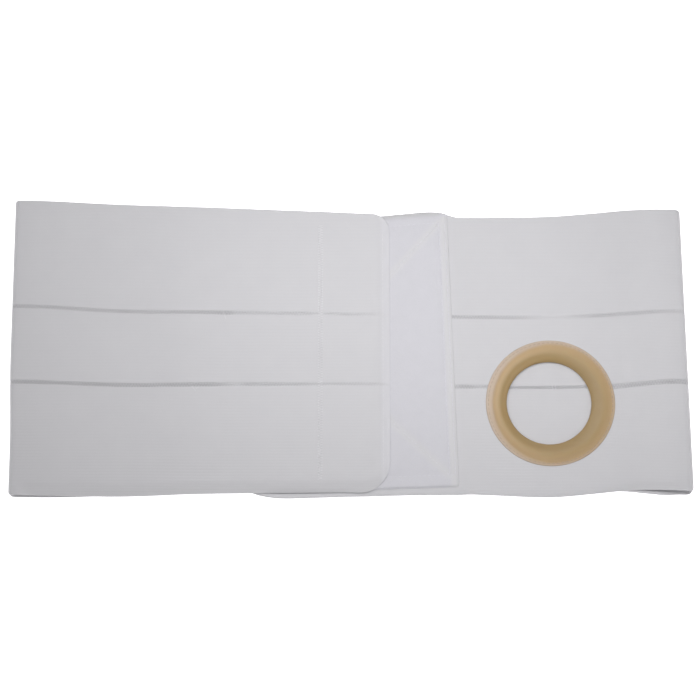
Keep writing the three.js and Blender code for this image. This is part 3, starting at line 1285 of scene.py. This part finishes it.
@dataclass
class ElasticStrip:
    """One length of knitted elastic, bent along the course between two of its edges."""

    node: str
    high: Edge
    low: Edge
    flat_width: float
    course: Course
    seam_gap: float = 0.005
    seam_web: float = 0.85
    seam_shoulder: float = 0.8
    bottom_taper: float = 2.6
    pace: float = 3.2
    rim: float = 0.07

    def build(self, material: bpy.types.Material) -> bpy.types.Object:
        """Args:
            material: The elastic's material.

        Returns:
            The piece.
        """
        runs = self.course.section_runs()
        steps = [SEAM_STEPS if edge.is_seam else SELVEDGE_STEPS for edge in (self.low, self.high)]
        shares = edge_shares(self.flat_width, *steps, self.pace)
        bm = flat_grid(len(runs) - 1, len(shares) - 1)
        run_layer = bm.verts.layers.float.new("run")
        across_layer = bm.verts.layers.float.new("across")
        for vert in bm.verts:
            vert[run_layer] = run = grid_item(runs, vert.co.x)
            low, high = self.bounds_at(run)
            vert[across_layer] = low + (high - low) * grid_item(shares, vert.co.y)
        self.cut_opening(bm, run_layer, across_layer)
        close_slab(bm)
        flat = bm.loops.layers.uv.new(UV_NAME)
        web_shade_and_hem_layer = bm.verts.layers.float.new(WEB_SHADE_AND_HEM_NAME)
        for vert in bm.verts:
            run, y = vert[run_layer], vert[across_layer]
            # Darkens the seam's web, partly its own grey and partly painted shade, and marks the flap's hem
            # below 0.
            vert[web_shade_and_hem_layer] = self.seam_drop(run, y) - self.course.hem(run)
            half = self.half_wall(run, y)
            vert.co = self.course.place(run, y, half if vert.co.z > HALF else -half)
        for face in bm.faces:
            for loop in face.loops:
                loop[flat].uv = (loop.vert[run_layer] * MM, loop.vert[across_layer] * MM)
        piece = piece_from(bm, f"{self.node}_elastic", material)
        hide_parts(self.node)
        return piece

    def bounds_at(self, run: float) -> tuple[float, float]:
        """The strip's lower and upper edge at a run, clear of the seams.

        Args:
            run: Distance along the belt.

        Returns:
            Y of both edges.
        """
        edges = self.course.edges(run)
        low = edges[self.low.value] + self.seam_gap * self.low.is_seam
        high = edges[self.high.value] - self.seam_gap * self.high.is_seam
        return float(low), float(high)

    def half_wall(self, run: float, y: float) -> float:
        """Half the wall's thickness, which rounds off at an edge and drops to a thin web at a seam.

        Args:
            run: Distance along the belt.
            y: Place across the width.

        Returns:
            Half the thickness there.
        """
        half = self.course.wall / 2 - self.course.seam_depth * self.seam_drop(run, y)
        rounded = [self.rounded(self.course.length - run, self.course.wall / 2)]
        for edge, inset in self.insets(run, y):
            if edge is Edge.TOP:
                rounded.append(self.rounded(inset, self.course.wall / 2))
            elif edge is Edge.BOTTOM:
                rounded.append(self.rounded(inset, self.bottom_taper))
        return min(half * self.course.thickness(run), *rounded)

    def insets(self, run: float, y: float) -> list[tuple[Edge, float]]:
        """Each of the strip's edges, with the distance in from it."""
        low, high = self.bounds_at(run)
        return [(self.low, y - low), (self.high, high - y)]

    def seam_drop(self, run: float, y: float) -> float:
        """How far the wall has dropped to a seam's thin web, as a share of the usual depth.

        Args:
            run: Distance along the belt.
            y: Place across the width.

        Returns:
            The share.
        """
        drop = 0.0
        for edge, inset in self.insets(run, y):
            if edge.is_seam:
                depth = self.course.seam_share(run, edge)
                spread = self.course.seam_spread(run, edge)
                web = self.seam_web * spread
                drop = max(drop, depth * (1 - smooth(web, web + self.seam_shoulder * spread, inset)))
        return drop

    def rounded(self, inset: float, reach: float) -> float:
        """Half the wall's thickness at a distance in from an edge that is rounded over a reach."""
        share = min((max(inset, 0.0) + self.rim) / (reach + self.rim), 1.0)
        return self.course.wall / 2 * math.sqrt(1 - (1 - share) ** 2)

    def cut_opening(self, bm: bmesh.types.BMesh, run_layer: object, across_layer: object) -> None:
        """Cuts the round opening out of the flat grid.

        Args:
            bm: The grid.
            run_layer: The layer that holds each vertex's run.
            across_layer: The layer that holds its place across the width.
        """
        course = self.course
        front = course.front_level

        def from_centre(vert: bmesh.types.BMVert) -> Vector:
            """Where a vertex lies, seen from the middle of the opening."""
            x = course.middle(vert[run_layer])[0]
            return Vector((x - course.opening[0], vert[across_layer] - course.opening[1]))

        near = [vert for vert in bm.verts if vert[run_layer] > front]
        inside = {vert for vert in near if from_centre(vert).length < course.opening_cut}
        gone = [face for face in bm.faces if sum(vert in inside for vert in face.verts) > 1]
        bmesh.ops.delete(bm, geom=gone, context="FACES")
        ends = (-HALF, HALF)
        for vert in bm.verts:
            if not vert.is_boundary or vert[run_layer] <= front or vert.co.y in ends:
                continue
            offset = from_centre(vert)
            if offset.length > course.opening_cut + self.pace:
                continue
            offset = offset.normalized() * course.opening_cut
            vert[run_layer] = course.run_at(Layer.FRONT, course.opening[0] + offset.x)
            vert[across_layer] = course.opening[1] + offset.y


Stitch = tuple[Vector, Vector, Vector]


@dataclass(frozen=True)
class LooseEnd:
    """A short loose thread over a seam: the layer and face that it lies on, and its two ends."""

    layer: Layer
    side: Side
    start: tuple[float, float]
    end: tuple[float, float]


LOOSE_ENDS = (
    LooseEnd(Layer.FLAP, Side.OUTER, (-90.1, 26.8), (-88.6, 23.9)),
    LooseEnd(Layer.FLAP, Side.OUTER, (-88.7, 24.0), (-87.4, 20.8)),
    LooseEnd(Layer.FLAP, Side.OUTER, (-111.3, -26.8), (-107.8, -31.0)),
    LooseEnd(Layer.FLAP, Side.OUTER, (-106.4, -27.8), (-108.2, -29.6)),
    LooseEnd(Layer.BACK, Side.INNER, (142.6, -25.2), (142.9, -28.8)),
    LooseEnd(Layer.BACK, Side.INNER, (144.8, -25.0), (144.6, -28.6)),
)


@dataclass
class Thread:
    """Sewing thread, laid as single stitches whose ends dive into the cloth."""

    radius: float = 0.17
    sides: int = 5
    dive: float = 1.3
    crest: float = 0.35
    level_half: float = 0.3

    def template(self) -> bpy.types.Mesh:
        """One stitch: a unit long along X, with a radius of a unit, low at its ends.

        Returns:
            Its mesh.
        """
        bm = bmesh.new()
        lie = Matrix.Rotation(math.pi / 2, 4, "Y")
        ends = {"radius1": 1.0, "radius2": 1.0, "depth": 1.0, "cap_ends": True}
        bmesh.ops.create_cone(bm, segments=self.sides, matrix=lie, **ends)
        for cut in (-self.level_half, self.level_half):
            everything = bm.verts[:] + bm.edges[:] + bm.faces[:]
            bmesh.ops.bisect_plane(bm, geom=everything, plane_co=(cut, 0, 0), plane_no=(1, 0, 0))
        for vert in bm.verts:
            vert.co.z += self.crest - self.dive * smooth(self.level_half, HALF, abs(vert.co.x))
        return mesh_from(bm, "stitch")

    def sew(self, name: str, stitches: list[Stitch], material: bpy.types.Material) -> bpy.types.Object:
        """Joins a row of stitches into one piece.

        Args:
            name: The piece's name.
            stitches: Start, end and outward direction of each.
            material: The thread's material.

        Returns:
            The piece.
        """
        template = self.template()
        bm = bmesh.new()
        for start, end, outward in stitches:
            along = end - start
            side = outward.cross(along).normalized() * self.radius * MM
            up = along.cross(side).normalized() * self.radius * MM
            basis = Matrix((along, side, up)).transposed().to_4x4()
            stitch = template.copy()
            stitch.transform(Matrix.Translation((start + end) / 2) @ basis)
            bm.from_mesh(stitch)
            bpy.data.meshes.remove(stitch)
        bpy.data.meshes.remove(template)
        return piece_from(bm, name, material)


def stitch_line(start: Vector, end: Vector, pitch: float, fill: float) -> list[tuple[Vector, Vector]]:
    """Divides a flat line into stitches.

    Args:
        start: Where the line begins.
        end: Where it ends.
        pitch: Distance from one stitch to the next.
        fill: Share of the pitch that a stitch covers.

    Returns:
        The start and end of each stitch.
    """
    count = max(round((end - start).length / pitch), 1)
    gap = (1 - fill) / 2
    return [
        (start.lerp(end, (step + gap) / count), start.lerp(end, (step + 1 - gap) / count))
        for step in range(count)
    ]


@dataclass
class SeamStitching:
    """Zigzag rows that join the strips edge to edge, on both faces of the elastic."""

    course: Course
    period: float = 2.0
    half_width: float = 1.3
    bury: float = 0.14
    sink: float = 0.2
    ring_clear: float = 2.0
    thread: Thread = field(default_factory=Thread)

    def build(self, material: bpy.types.Material) -> bpy.types.Object:
        """Sews both seams along the whole belt.

        Args:
            material: The thread's material.

        Returns:
            The piece.
        """
        stitches: list[Stitch] = []
        for seam in (Edge.UPPER, Edge.LOWER):
            for side in Side:
                stitches += self.row(seam, side)
        piece = self.thread.sew("seam_stitching", stitches, material)
        return piece

    def build_loose(self, material: bpy.types.Material) -> bpy.types.Object:
        """Lays the loose threads over the seams.

        Args:
            material: The thread's material.

        Returns:
            The piece.
        """
        course = self.course
        stitches: list[Stitch] = []
        for loose in LOOSE_ENDS:
            runs = [course.run_at(loose.layer, x) for x, _ in (loose.start, loose.end)]
            depth = loose.side.value * course.wall / 2
            ends = [course.place(run, y, depth) for run, (_, y) in zip(runs, (loose.start, loose.end))]
            stitches.append((*ends, course.direction(runs[0]) * loose.side.value))
        piece = self.thread.sew("loose_threads", stitches, material)
        return piece

    def row(self, seam: Edge, side: Side) -> list[Stitch]:
        """One zigzag row.

        Args:
            seam: The seam that it follows.
            side: The face that it lies on.

        Returns:
            Its stitches.
        """
        course = self.course
        count = int(course.length / self.period) * 2
        points = []
        for step in range(1, count):
            run = step * self.period / 2
            swing = self.half_width * min(course.seam_spread(run, seam), 1.0)
            y = course.edges(run)[seam.value] + swing * (1 if step % 2 else -1)
            points.append((run, float(y)))
        found: list[Stitch] = []
        for (run, y), (next_run, next_y) in zip(points, points[1:]):
            if self.cut_away(run, y) or self.cut_away(next_run, next_y):
                continue
            wall = course.wall / 2 * course.thickness(run)
            depth = side.value * (wall - self.bury - self.sink * course.seam_share(run, seam))
            outward = course.direction((run + next_run) / 2) * side.value
            found.append((course.place(run, y, depth), course.place(next_run, next_y, depth), outward))
        return found

    def cut_away(self, run: float, y: float) -> bool:
        """True where the opening has taken the seam.

        Args:
            run: Distance along the belt.
            y: Place across the width.

        Returns:
            Whether it has.
        """
        if self.course.layer_at(run) is not Layer.FRONT:
            return False
        reach = self.course.from_opening(self.course.middle(run)[0], y)
        return reach < self.course.opening_cut + self.ring_clear


Row = tuple[Vector, Vector]
PANEL_SIDE_STEPS = (0.0, 0.6, 1.3, 2.1, 3.0, 4.0, 5.2, 6.4, 7.6)
PANEL_END_STEPS = (4.0, 5.2, 6.4, 7.6)


@dataclass
class ClosurePanel:
    """Brushed loop panel sewn on the tab, round its edge and along both diagonals."""

    course: Course
    width: float = 152.4
    height: float = 199.0
    x: float = -3.4
    y: float = -1.0
    turn: float = 1.9
    inner_corner: Corner = Corner(26.0, 26.0)
    outer_top: Corner = Corner(3.0, 14.0)
    outer_bottom: Corner = Corner(2.5, 2.5)
    pile: float = 1.0
    side_hem: float = 2.1
    second_row: float = 4.3
    end_hem: float = 8.6
    groove: float = 0.45
    groove_reach: float = 1.3
    side_rim: float = 2.4
    selvedge: float = 5.4
    selvedge_fade: tuple[float, float] = (0.8, 1.2)
    # How far down the top hem the painted shade reaches, as a share of the hem.
    painted_top_shade_share: float = 0.65
    top_rim: float = 3.6
    bottom_rim: float = 1.5
    rim_rise: float = -0.1
    pressed: float = 0.9
    pressed_reach: float = 2.7
    seat: float = 0.24
    slant: float = 0.062
    slant_from: float = 59.0
    slant_depth: float = 2.4
    pace: float = 2.0
    corner_sections: int = 8
    stitch_pitch: float = 3.4
    stitch_fill: float = 0.82
    thread: Thread = field(default_factory=lambda: Thread(radius=0.2))

    def __post_init__(self) -> None:
        """Lays out the rows of stitches, each as its start and end on the flat panel."""
        right, left = self.width / 2 - self.side_hem, self.side_hem - self.width / 2
        top = self.height / 2 - self.end_hem
        inner = right - self.second_row
        fall = top - (inner - left)
        corners = [Vector(p) for p in ((right, top), (left, top), (left, -top), (right, -top))]
        box = list(zip(corners, corners[1:] + corners[:1]))
        second = (Vector((inner, top)), Vector((inner, -top)))
        self.diagonals = [(Vector((inner, side * top)), Vector((left, side * fall))) for side in (1, -1)]
        self.rows: list[Row] = [*box, *self.diagonals, second]

    def sides(self, y: float) -> tuple[float, float]:
        """The panel's sides at a height on the flat panel, drawn in by its corners.

        Args:
            y: The height, from the panel's middle.

        Returns:
            X of the left and of the right side.
        """
        from_end = self.height / 2 - abs(y)
        outer = self.outer_top if y > 0 else self.outer_bottom
        return self.inner_corner.cut(from_end) - self.width / 2, self.width / 2 - outer.cut(from_end)

    def face(self, flat: Vector) -> Vector:
        """The point of the pile over a point of the flat panel.

        Args:
            flat: The point, from the panel's middle, in millimetres.

        Returns:
            The point on the pile, in metres.
        """
        near = self.distance(flat, self.rows)
        left, right = self.sides(flat.y)
        share = smooth(0, self.side_rim, right - flat.x) * smooth(0, self.side_rim, flat.x - left)
        share *= smooth(0, self.top_rim, self.height / 2 - flat.y)
        share *= smooth(0, self.bottom_rim, self.height / 2 + flat.y)
        rise = self.pile - self.groove * bell(near, self.groove_reach)
        return self.settle(flat, self.rim_rise + (rise - self.rim_rise) * share)

    def wear_and_painted_shade(self, flat: Vector) -> float:
        """How worn the pile is at a point, and where painted shade darkens its top edge.

        Args:
            flat: The point, from the panel's middle.

        Returns:
            1 where the rim is bare, nearly 1 along the diagonals, -1 where painted shade darkens the top
            edge, 0 elsewhere.
        """
        bare = 1 - smooth(*self.selvedge_fade, (self.sides(flat.y)[1] - flat.x) / self.selvedge)
        aslant = self.distance(flat, self.diagonals)
        bare = max(bare, self.pressed * bell(aslant, self.pressed_reach))
        # Painted shade of the rounded top edge, darkest at the edge.
        painted_top_shade = 1 - smooth(0, self.painted_top_shade_share, (self.height / 2 - flat.y) / self.end_hem)
        return bare * (1 - painted_top_shade) - painted_top_shade

    def settle(self, flat: Vector, rise: float) -> Vector:
        """Turns the flat panel to lie as it does on the tab.

        Args:
            flat: The point, from the panel's middle.
            rise: Its height over the panel's base.

        Returns:
            The point in the shared frame, in metres.
        """
        turned = flat.to_2d() @ Matrix.Rotation(-math.radians(self.turn), 2)
        slant = min(self.slant * max(self.slant_from - flat.x, 0.0), self.slant_depth)
        slant *= smooth(0, self.height / 2, flat.y)
        y = turned.y + self.y - slant
        place = Vector((turned.x + self.x, y, self.course.panel_base + rise))
        return (place + self.course.shift) * MM

    @staticmethod
    def distance(flat: Vector, rows: list[Row]) -> float:
        """Distance from a point to the nearest of some rows of stitches.

        Args:
            flat: The point, from the panel's middle.
            rows: The rows.

        Returns:
            The distance.
        """
        found = []
        for start, end in rows:
            along, offset = end - start, flat.to_2d() - start
            share = min(max(offset.dot(along) / along.length_squared, 0.0), 1.0)
            found.append((offset - along * share).length)
        return min(found)

    def build(self, pile: bpy.types.Material, thread: bpy.types.Material) -> list[bpy.types.Object]:
        """Makes the panel and its stitching.

        Args:
            pile: The pile's material.
            thread: The thread's material.

        Returns:
            The panel and the stitching.
        """
        panel = self.build_panel(pile)
        stitches: list[Stitch] = []
        for row in self.rows:
            for first, last in stitch_line(*row, self.stitch_pitch, self.stitch_fill):
                stitches.append((self.face(first), self.face(last), UP))
        sewing = self.thread.sew("panel_stitching", stitches, thread)
        return [panel, sewing]

    def build_panel(self, pile: bpy.types.Material) -> bpy.types.Object:
        """Makes the panel itself.

        Args:
            pile: The pile's material.

        Returns:
            The panel.
        """
        across = edge_shares(self.width, PANEL_SIDE_STEPS, PANEL_SIDE_STEPS, self.pace)
        ends = [
            (*corner.steps(self.corner_sections), corner.along, *PANEL_END_STEPS)
            for corner in (self.outer_bottom, self.outer_top)
        ]
        upward = edge_shares(self.height, *ends, self.pace)
        bm = flat_grid(len(across) - 1, len(upward) - 1)
        for vert in bm.verts:
            share = grid_item(across, vert.co.x)
            y = (grid_item(upward, vert.co.y) - HALF) * self.height
            left, right = self.sides(y)
            vert.co.x, vert.co.y = left + (right - left) * share, y
        close_slab(bm)
        # Each vertex carries its bare rim, its pressed diagonals and the painted shade along the top edge.
        wear_and_shade_layer = bm.verts.layers.float.new(SELVEDGE_AND_SHADE_NAME)
        for vert in bm.verts:
            flat = Vector((vert.co.x, vert.co.y))
            vert[wear_and_shade_layer] = self.wear_and_painted_shade(flat)
            vert.co = self.face(flat) if vert.co.z > HALF else self.settle(flat, -self.seat)
        panel = piece_from(bm, "loop_panel", pile)
        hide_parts("closure_panel")
        return panel


@dataclass
class HookStrip:
    """Hook tape under the flap's end: a thin woven base with rows of small hooks below."""

    course: Course
    width: float = 48.5
    height: float = 188.0
    x: float = 1.2
    y: float = -1.5
    corner: Corner = Corner(9.0, 9.0)
    base: float = 0.7
    columns: int = 30
    sections: int = 60
    hook_pitch: float = 2.2
    hook_radius: float = 0.22
    hook_flare: float = 1.5
    hook_sides: int = 4
    hook_lift: float = 0.02
    border: float = 3.0
    thread: Thread = field(default_factory=lambda: Thread(radius=0.19))
    stitch_pitch: float = 3.2
    stitch_fill: float = 0.82
    row_inset: float = 2.2
    row_end: float = 0.7
    zigzag_pitch: float = 0.9
    zigzag_half: float = 1.9
    bury: float = 0.05
    trim: float = 3.4

    def build(self, tape: bpy.types.Material, thread: bpy.types.Material) -> list[bpy.types.Object]:
        """Makes the tape and the rows of stitches that hold it under the flap.

        Args:
            tape: The tape's material.
            thread: The thread's material.

        Returns:
            The tape and the stitching.
        """
        course = self.course
        left, right = self.x - self.width / 2, self.x + self.width / 2 - self.trim
        low, high = self.y - self.height / 2, self.y + self.height / 2
        bm = flat_grid(self.columns, self.sections)
        for vert in bm.verts:
            y = low + (vert.co.y + HALF) * self.height
            end = right - self.corner.cut(min(y - low, high - y))
            vert.co.x, vert.co.y = left + (vert.co.x + HALF) * (end - left), y
        close_slab(bm)
        for vert in bm.verts:
            top = course.hook_base + course.hook_thick - course.flap_drop(vert.co.x)
            z = top if vert.co.z > HALF else top - self.base
            vert.co = (Vector((vert.co.x, vert.co.y, z)) + course.shift) * MM
        self.add_hooks(bm, left, (low, high))
        piece = piece_from(bm, "hook_tape", tape)
        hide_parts("hook_strip")
        sewing = self.thread.sew("flap_stitching", self.rows((low, high)), thread)
        return [piece, sewing]

    def add_hooks(self, bm: bmesh.types.BMesh, left: float, upward: tuple[float, float]) -> None:
        """Stands the hooks under the tape.

        Args:
            bm: The tape's bmesh, which takes the hooks in.
            left: The tape's left edge.
            upward: Its lower and upper edge.
        """
        course = self.course
        drop = course.hook_thick - self.base
        columns = int((course.flap_droop_from - left - 2 * self.border) / self.hook_pitch)
        rows = int((upward[1] - upward[0] - 2 * self.border) / self.hook_pitch)
        height = course.hook_base + drop / 2 + self.hook_lift
        first = Vector((left + self.border, upward[0] + self.border, height))
        stem = {
            "segments": self.hook_sides,
            "radius1": self.hook_radius * self.hook_flare * MM,
            "radius2": self.hook_radius * MM,
            "depth": drop * MM,
            "cap_ends": True,
        }
        for column in range(columns):
            for row in range(rows):
                offset = Vector((column + row % 2 / 2, row, 0)) * self.hook_pitch
                where = Matrix.Translation((first + offset + course.shift) * MM)
                bmesh.ops.create_cone(bm, matrix=where, **stem)

    def rows(self, upward: tuple[float, float]) -> list[Stitch]:
        """The stitches that show on the flap: a zigzag at the tape's inner edge, a row near its end.

        Args:
            upward: The tape's lower and upper edge.

        Returns:
            The stitches.
        """
        course = self.course
        left = course.flap_end - (self.x - self.width / 2 + self.row_inset)
        right = course.flap_end - (self.x + self.width / 2 - self.row_inset)
        low, high = upward[0] + self.row_inset, upward[1] - self.row_inset
        turn = self.corner.along * self.row_end
        ends = Vector((right, low + turn)), Vector((right, high - turn))
        straight = stitch_line(*ends, self.stitch_pitch, self.stitch_fill)
        count = int((high - low) / self.zigzag_pitch)
        turns = [low + step * self.zigzag_pitch for step in range(count)]
        bends = [Vector((left + self.zigzag_half * (-1) ** step, y)) for step, y in enumerate(turns)]
        found: list[Stitch] = []
        for first, last in [*straight, *zip(bends, bends[1:])]:
            half = course.wall / 2 - self.bury
            points = [course.place(p.x, p.y, half * course.thickness(p.x)) for p in (first, last)]
            found.append((points[0], points[1], course.direction(first.x)))
        return found


Offsets = tuple[tuple[float, float], ...]


@dataclass
class StomaRing:
    """Moulded ring round the opening: sewing flange, rounded crest and sloping throat."""

    course: Course
    inner: float = 29.6
    outer: float = 45.2
    collar: float = 31.8
    crest: float = 36.6
    height: float = 2.6
    edge: float = 0.7
    seat: float = 0.04
    steps: int = 144
    curve_points: int = 12
    merge: float = 1e-6
    foot_offsets: Offsets = ((-0.15, 0.0), (0.0, 0.14))
    lip_offsets: Offsets = ((-0.2, -0.3), (-0.75, -0.1))
    rise_offsets: Offsets = ((-0.8, 0.2), (-2.4, 0.9))
    crest_handles: tuple[float, float] = (2.8, -1.6)
    throat_offsets: Offsets = ((1.2, 1.2), (0.0, -0.6))
    under_offsets: Offsets = ((0.1, 0.3), (0.4, 0.0))
    stitch_radius: float = 43.4
    stitch_count: int = 84
    stitch_fill: float = 0.7
    squash: tuple[float, float, float] = (1.005, 0.992, 1.0)
    left_flange: float = 0.28
    flange_clear: float = 0.4
    inner_shift: float = 1.0
    throat_clear: float = 0.5
    collar_slack: float = 0.01
    # Painted shade darkens the ring's lower right, and painted light lightens the upper left of its throat.
    painted_shade_shift: float = 1.4
    painted_light_lift: float = 5.0
    painted_light_reach: tuple[float, float] = (31.0, 35.0)
    painted_shade_side: tuple[float, float] = (0.8, -0.6)
    thread: Thread = field(default_factory=lambda: Thread(radius=0.2, crest=0.2))

    def centre(self) -> Vector:
        """The ring's axis on the ground, in metres."""
        return (Vector((*self.course.opening, 0)) + self.course.shift) * MM

    @staticmethod
    def about(radius: float, height: float, offsets: Offsets) -> list[Vector]:
        """Points of the section at offsets outwards and upwards from a radius and a height."""
        return [Vector((radius + outward, 0, height + upward)) for outward, upward in offsets]

    def section(self) -> list[Vector]:
        """The closed outline of the ring's section, as radius and height in millimetres.

        Returns:
            The outline's points.
        """
        face = self.course.front_face
        seat, under, top = face + self.seat, face - self.course.wall, face + self.height
        lip = face + self.edge
        crest = Vector((self.crest, 0, top))
        outside, inside = (crest + Vector((handle, 0, 0)) for handle in self.crest_handles)
        from_lip = self.about(self.stitch_radius, lip, self.rise_offsets)
        to_throat = self.about(self.inner, face, self.throat_offsets)
        return [
            *self.about(self.outer, seat, self.foot_offsets),
            *self.about(self.outer, lip, self.lip_offsets),
            Vector((self.stitch_radius, 0, lip)),
            *geometry.interpolate_bezier(*from_lip, outside, crest, self.curve_points),
            *geometry.interpolate_bezier(crest, inside, *to_throat, self.curve_points)[1:],
            *self.about(self.inner, under, self.under_offsets),
            Vector((self.collar, 0, under)),
            Vector((self.collar, 0, seat)),
        ]

    def build(self, vinyl: bpy.types.Material, thread: bpy.types.Material) -> list[bpy.types.Object]:
        """Makes the ring and the stitches through its flange.

        Args:
            vinyl: The ring's material.
            thread: The thread's material.

        Returns:
            The ring and the stitching.
        """
        bm = bmesh.new()
        verts = [bm.verts.new(point * MM) for point in self.section()]
        edges = [bm.edges.new(pair) for pair in zip(verts, verts[1:] + verts[:1])]
        axis = {"cent": (0, 0, 0), "axis": UP, "angle": TURN}
        bmesh.ops.spin(bm, geom=verts + edges, steps=self.steps, use_merge=True, **axis)
        bmesh.ops.remove_doubles(bm, verts=bm.verts[:], dist=self.merge)
        bmesh.ops.recalc_face_normals(bm, faces=bm.faces[:])
        self.shape(bm)
        bmesh.ops.translate(bm, verts=bm.verts[:], vec=self.centre())
        ring = piece_from(bm, "ring_moulding", vinyl)
        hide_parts("stoma_ring")
        sewing = self.thread.sew("ring_stitching", self.stitches(), thread)
        return [ring, sewing]

    def shape(self, bm: bmesh.types.BMesh) -> None:
        """Grades the turned ring by its radius with painted shade and light by side, draws its hole and
        dome aside and makes it a little oval.

        Args:
            bm: The ring about its axis, in metres.
        """
        grade_and_shade = bm.verts.layers.float.new(GRADE_AND_SHADE_NAME)
        for vert in bm.verts:
            arm = vert.co.to_2d()
            radius = arm.length / MM
            # The lower right takes painted shade, and the upper left of the throat takes painted light.
            side = arm.normalized().dot(Vector(self.painted_shade_side))
            lift = self.painted_light_lift * (1 - side) / 2 * (1 - smooth(*self.painted_light_reach, radius))
            vert[grade_and_shade] = radius - self.painted_shade_shift * (1 + side) + lift
            if self.crest < radius < self.stitch_radius - self.flange_clear:
                leftward = max(-arm.normalized().x, 0.0)
                drawn = self.crest + (radius - self.crest) * (1 - self.left_flange * leftward)
                vert.co.xy *= drawn / radius
            elif not math.isclose(radius, self.collar, abs_tol=self.collar_slack):
                throat = 1 - smooth(self.inner + self.throat_clear, self.crest, radius)
                vert.co.x -= self.inner_shift * MM * throat
        bmesh.ops.scale(bm, vec=self.squash, verts=bm.verts[:])

    def stitches(self) -> list[Stitch]:
        """The round of stitches through the flange.

        Returns:
            The stitches.
        """
        lip = self.centre() + UP * (self.course.front_face + self.edge) * MM
        pitch = TURN / self.stitch_count

        def at(angle: float) -> Vector:
            """A point on the round of stitches."""
            arm = Vector((math.cos(angle), math.sin(angle), 0)) * Vector(self.squash)
            return lip + arm * self.stitch_radius * MM

        reach = pitch * self.stitch_fill
        return [(at(step * pitch), at(step * pitch + reach), UP) for step in range(self.stitch_count)]


@dataclass(frozen=True)
class LightBox:
    """A soft rectangular light.

    It has its place, its length along X and Y, its power in watts and its turn in degrees. It faces
    straight down, unless it is aimed.
    """

    name: str
    place: tuple[float, float, float]
    size: tuple[float, float]
    power: float
    turn: float = 0.0
    aimed: bool = False

    def hang(self, aim: Vector) -> None:
        """Hangs the light in the scene.

        Args:
            aim: The point that an aimed light faces, in metres.
        """
        lamp = bpy.data.lights.new(self.name, "AREA")
        lamp.shape = "RECTANGLE"
        lamp.size, lamp.size_y = self.size
        lamp.energy = self.power
        light = put_in_scene(self.name, lamp)
        light.location = self.place
        light.rotation_euler.z = math.radians(self.turn)
        if self.aimed:
            light.rotation_euler = (aim - Vector(self.place)).to_track_quat("-Z", "Y").to_euler()
        light.visible_camera = False


@dataclass
class Studio:
    """Pale floor, soft light and a camera that looks almost straight down."""

    elevation: float = 78.0
    distance: float = 1.45
    lens: float = 105.5
    sensor: float = 36.0
    aim_height: float = 8.0
    floor_size: float = 40.0
    floor_colour: Colour = (0.93, 0.93, 0.93, 1.0)
    floor_glow: float = 1.1
    floor_drop: float = 0.05
    floor_roughness: float = 0.95
    sky: float = 0.385
    lights: tuple[LightBox, ...] = (
        LightBox("key_light", (0.05, 0.05, 0.3), (0.5, 0.2), 0.715, turn=-9.0),
        LightBox("side_light", (-0.4, 0.3, 0.4), (0.3, 0.3), 0.075),
        LightBox("front_light", (0.0, -0.3, 1.42), (0.5, 0.5), 1.96, aimed=True),
    )

    def build(self, course: Course) -> None:
        """Sets up the floor, the lights and the camera.

        Args:
            course: The belt's course, for the point that the camera aims at.
        """
        scene = bpy.context.scene
        scene.view_settings.view_transform = "Standard"
        world = bpy.data.worlds.new("soft_sky")
        world.use_nodes = True
        sky = world.node_tree.nodes["Background"]
        sky.inputs["Color"].default_value = WHITE
        sky.inputs["Strength"].default_value = self.sky
        scene.world = world
        self.build_floor()
        aim = (course.shift + UP * self.aim_height) * MM
        for box in self.lights:
            box.hang(aim)
        angle = math.radians(self.elevation)
        back = Vector((0, -math.cos(angle), math.sin(angle)))
        lens = bpy.data.cameras.new("camera")
        lens.lens, lens.sensor_width = self.lens, self.sensor
        camera = put_in_scene("camera", lens)
        camera.location = aim + back * self.distance
        camera.rotation_euler = (-back).to_track_quat("-Z", "Y").to_euler()
        scene.camera = camera

    def build_floor(self) -> None:
        """Lays the floor just under the belt."""
        bm = bmesh.new()
        bmesh.ops.create_grid(bm, x_segments=1, y_segments=1, size=self.floor_size / 2)
        bmesh.ops.translate(bm, verts=bm.verts[:], vec=-UP * self.floor_drop * MM)
        mesh = mesh_from(bm, "studio_floor")
        paint = bpy.data.materials.new("floor_paper")
        paint.use_nodes = True
        shader = paint.node_tree.nodes["Principled BSDF"]
        shader.inputs["Base Color"].default_value = self.floor_colour
        shader.inputs["Roughness"].default_value = self.floor_roughness
        shader.inputs["Emission Color"].default_value = WHITE
        shader.inputs["Emission Strength"].default_value = self.floor_glow
        mesh.materials.append(paint)
        floor = put_in_scene("studio_floor", mesh)


def report(pieces: list[bpy.types.Object]) -> None:
    """Logs each piece's name and its number of faces."""
    for piece in pieces:
        log.info("%s: %d faces", piece.name, len(piece.data.polygons))


def main() -> None:
    """Builds the belt's pieces in order."""
    logging.basicConfig(level=logging.INFO, format="%(name)s %(message)s")
    course = Course()
    elastic = ElasticFinish().material()
    white_thread = ThreadFinish().material()
    strips = (
        ElasticStrip("upper_strip", Edge.TOP, Edge.UPPER, WIDE_ELASTIC, course),
        ElasticStrip("middle_strip", Edge.UPPER, Edge.LOWER, NARROW_ELASTIC, course),
        ElasticStrip("lower_strip", Edge.LOWER, Edge.BOTTOM, WIDE_ELASTIC, course),
    )
    report([strip.build(elastic) for strip in strips])
    seams = SeamStitching(course)
    report([seams.build(SEAM_THREAD.material()), seams.build_loose(white_thread)])
    report(ClosurePanel(course).build(PileFinish().material(), PANEL_THREAD.material()))
    report(HookStrip(course).build(MouldedFinish().material(), white_thread))
    report(StomaRing(course).build(VinylFinish().material(), FLANGE_THREAD.material()))
    Studio().build(course)


if __name__ == "__main__":
    main()
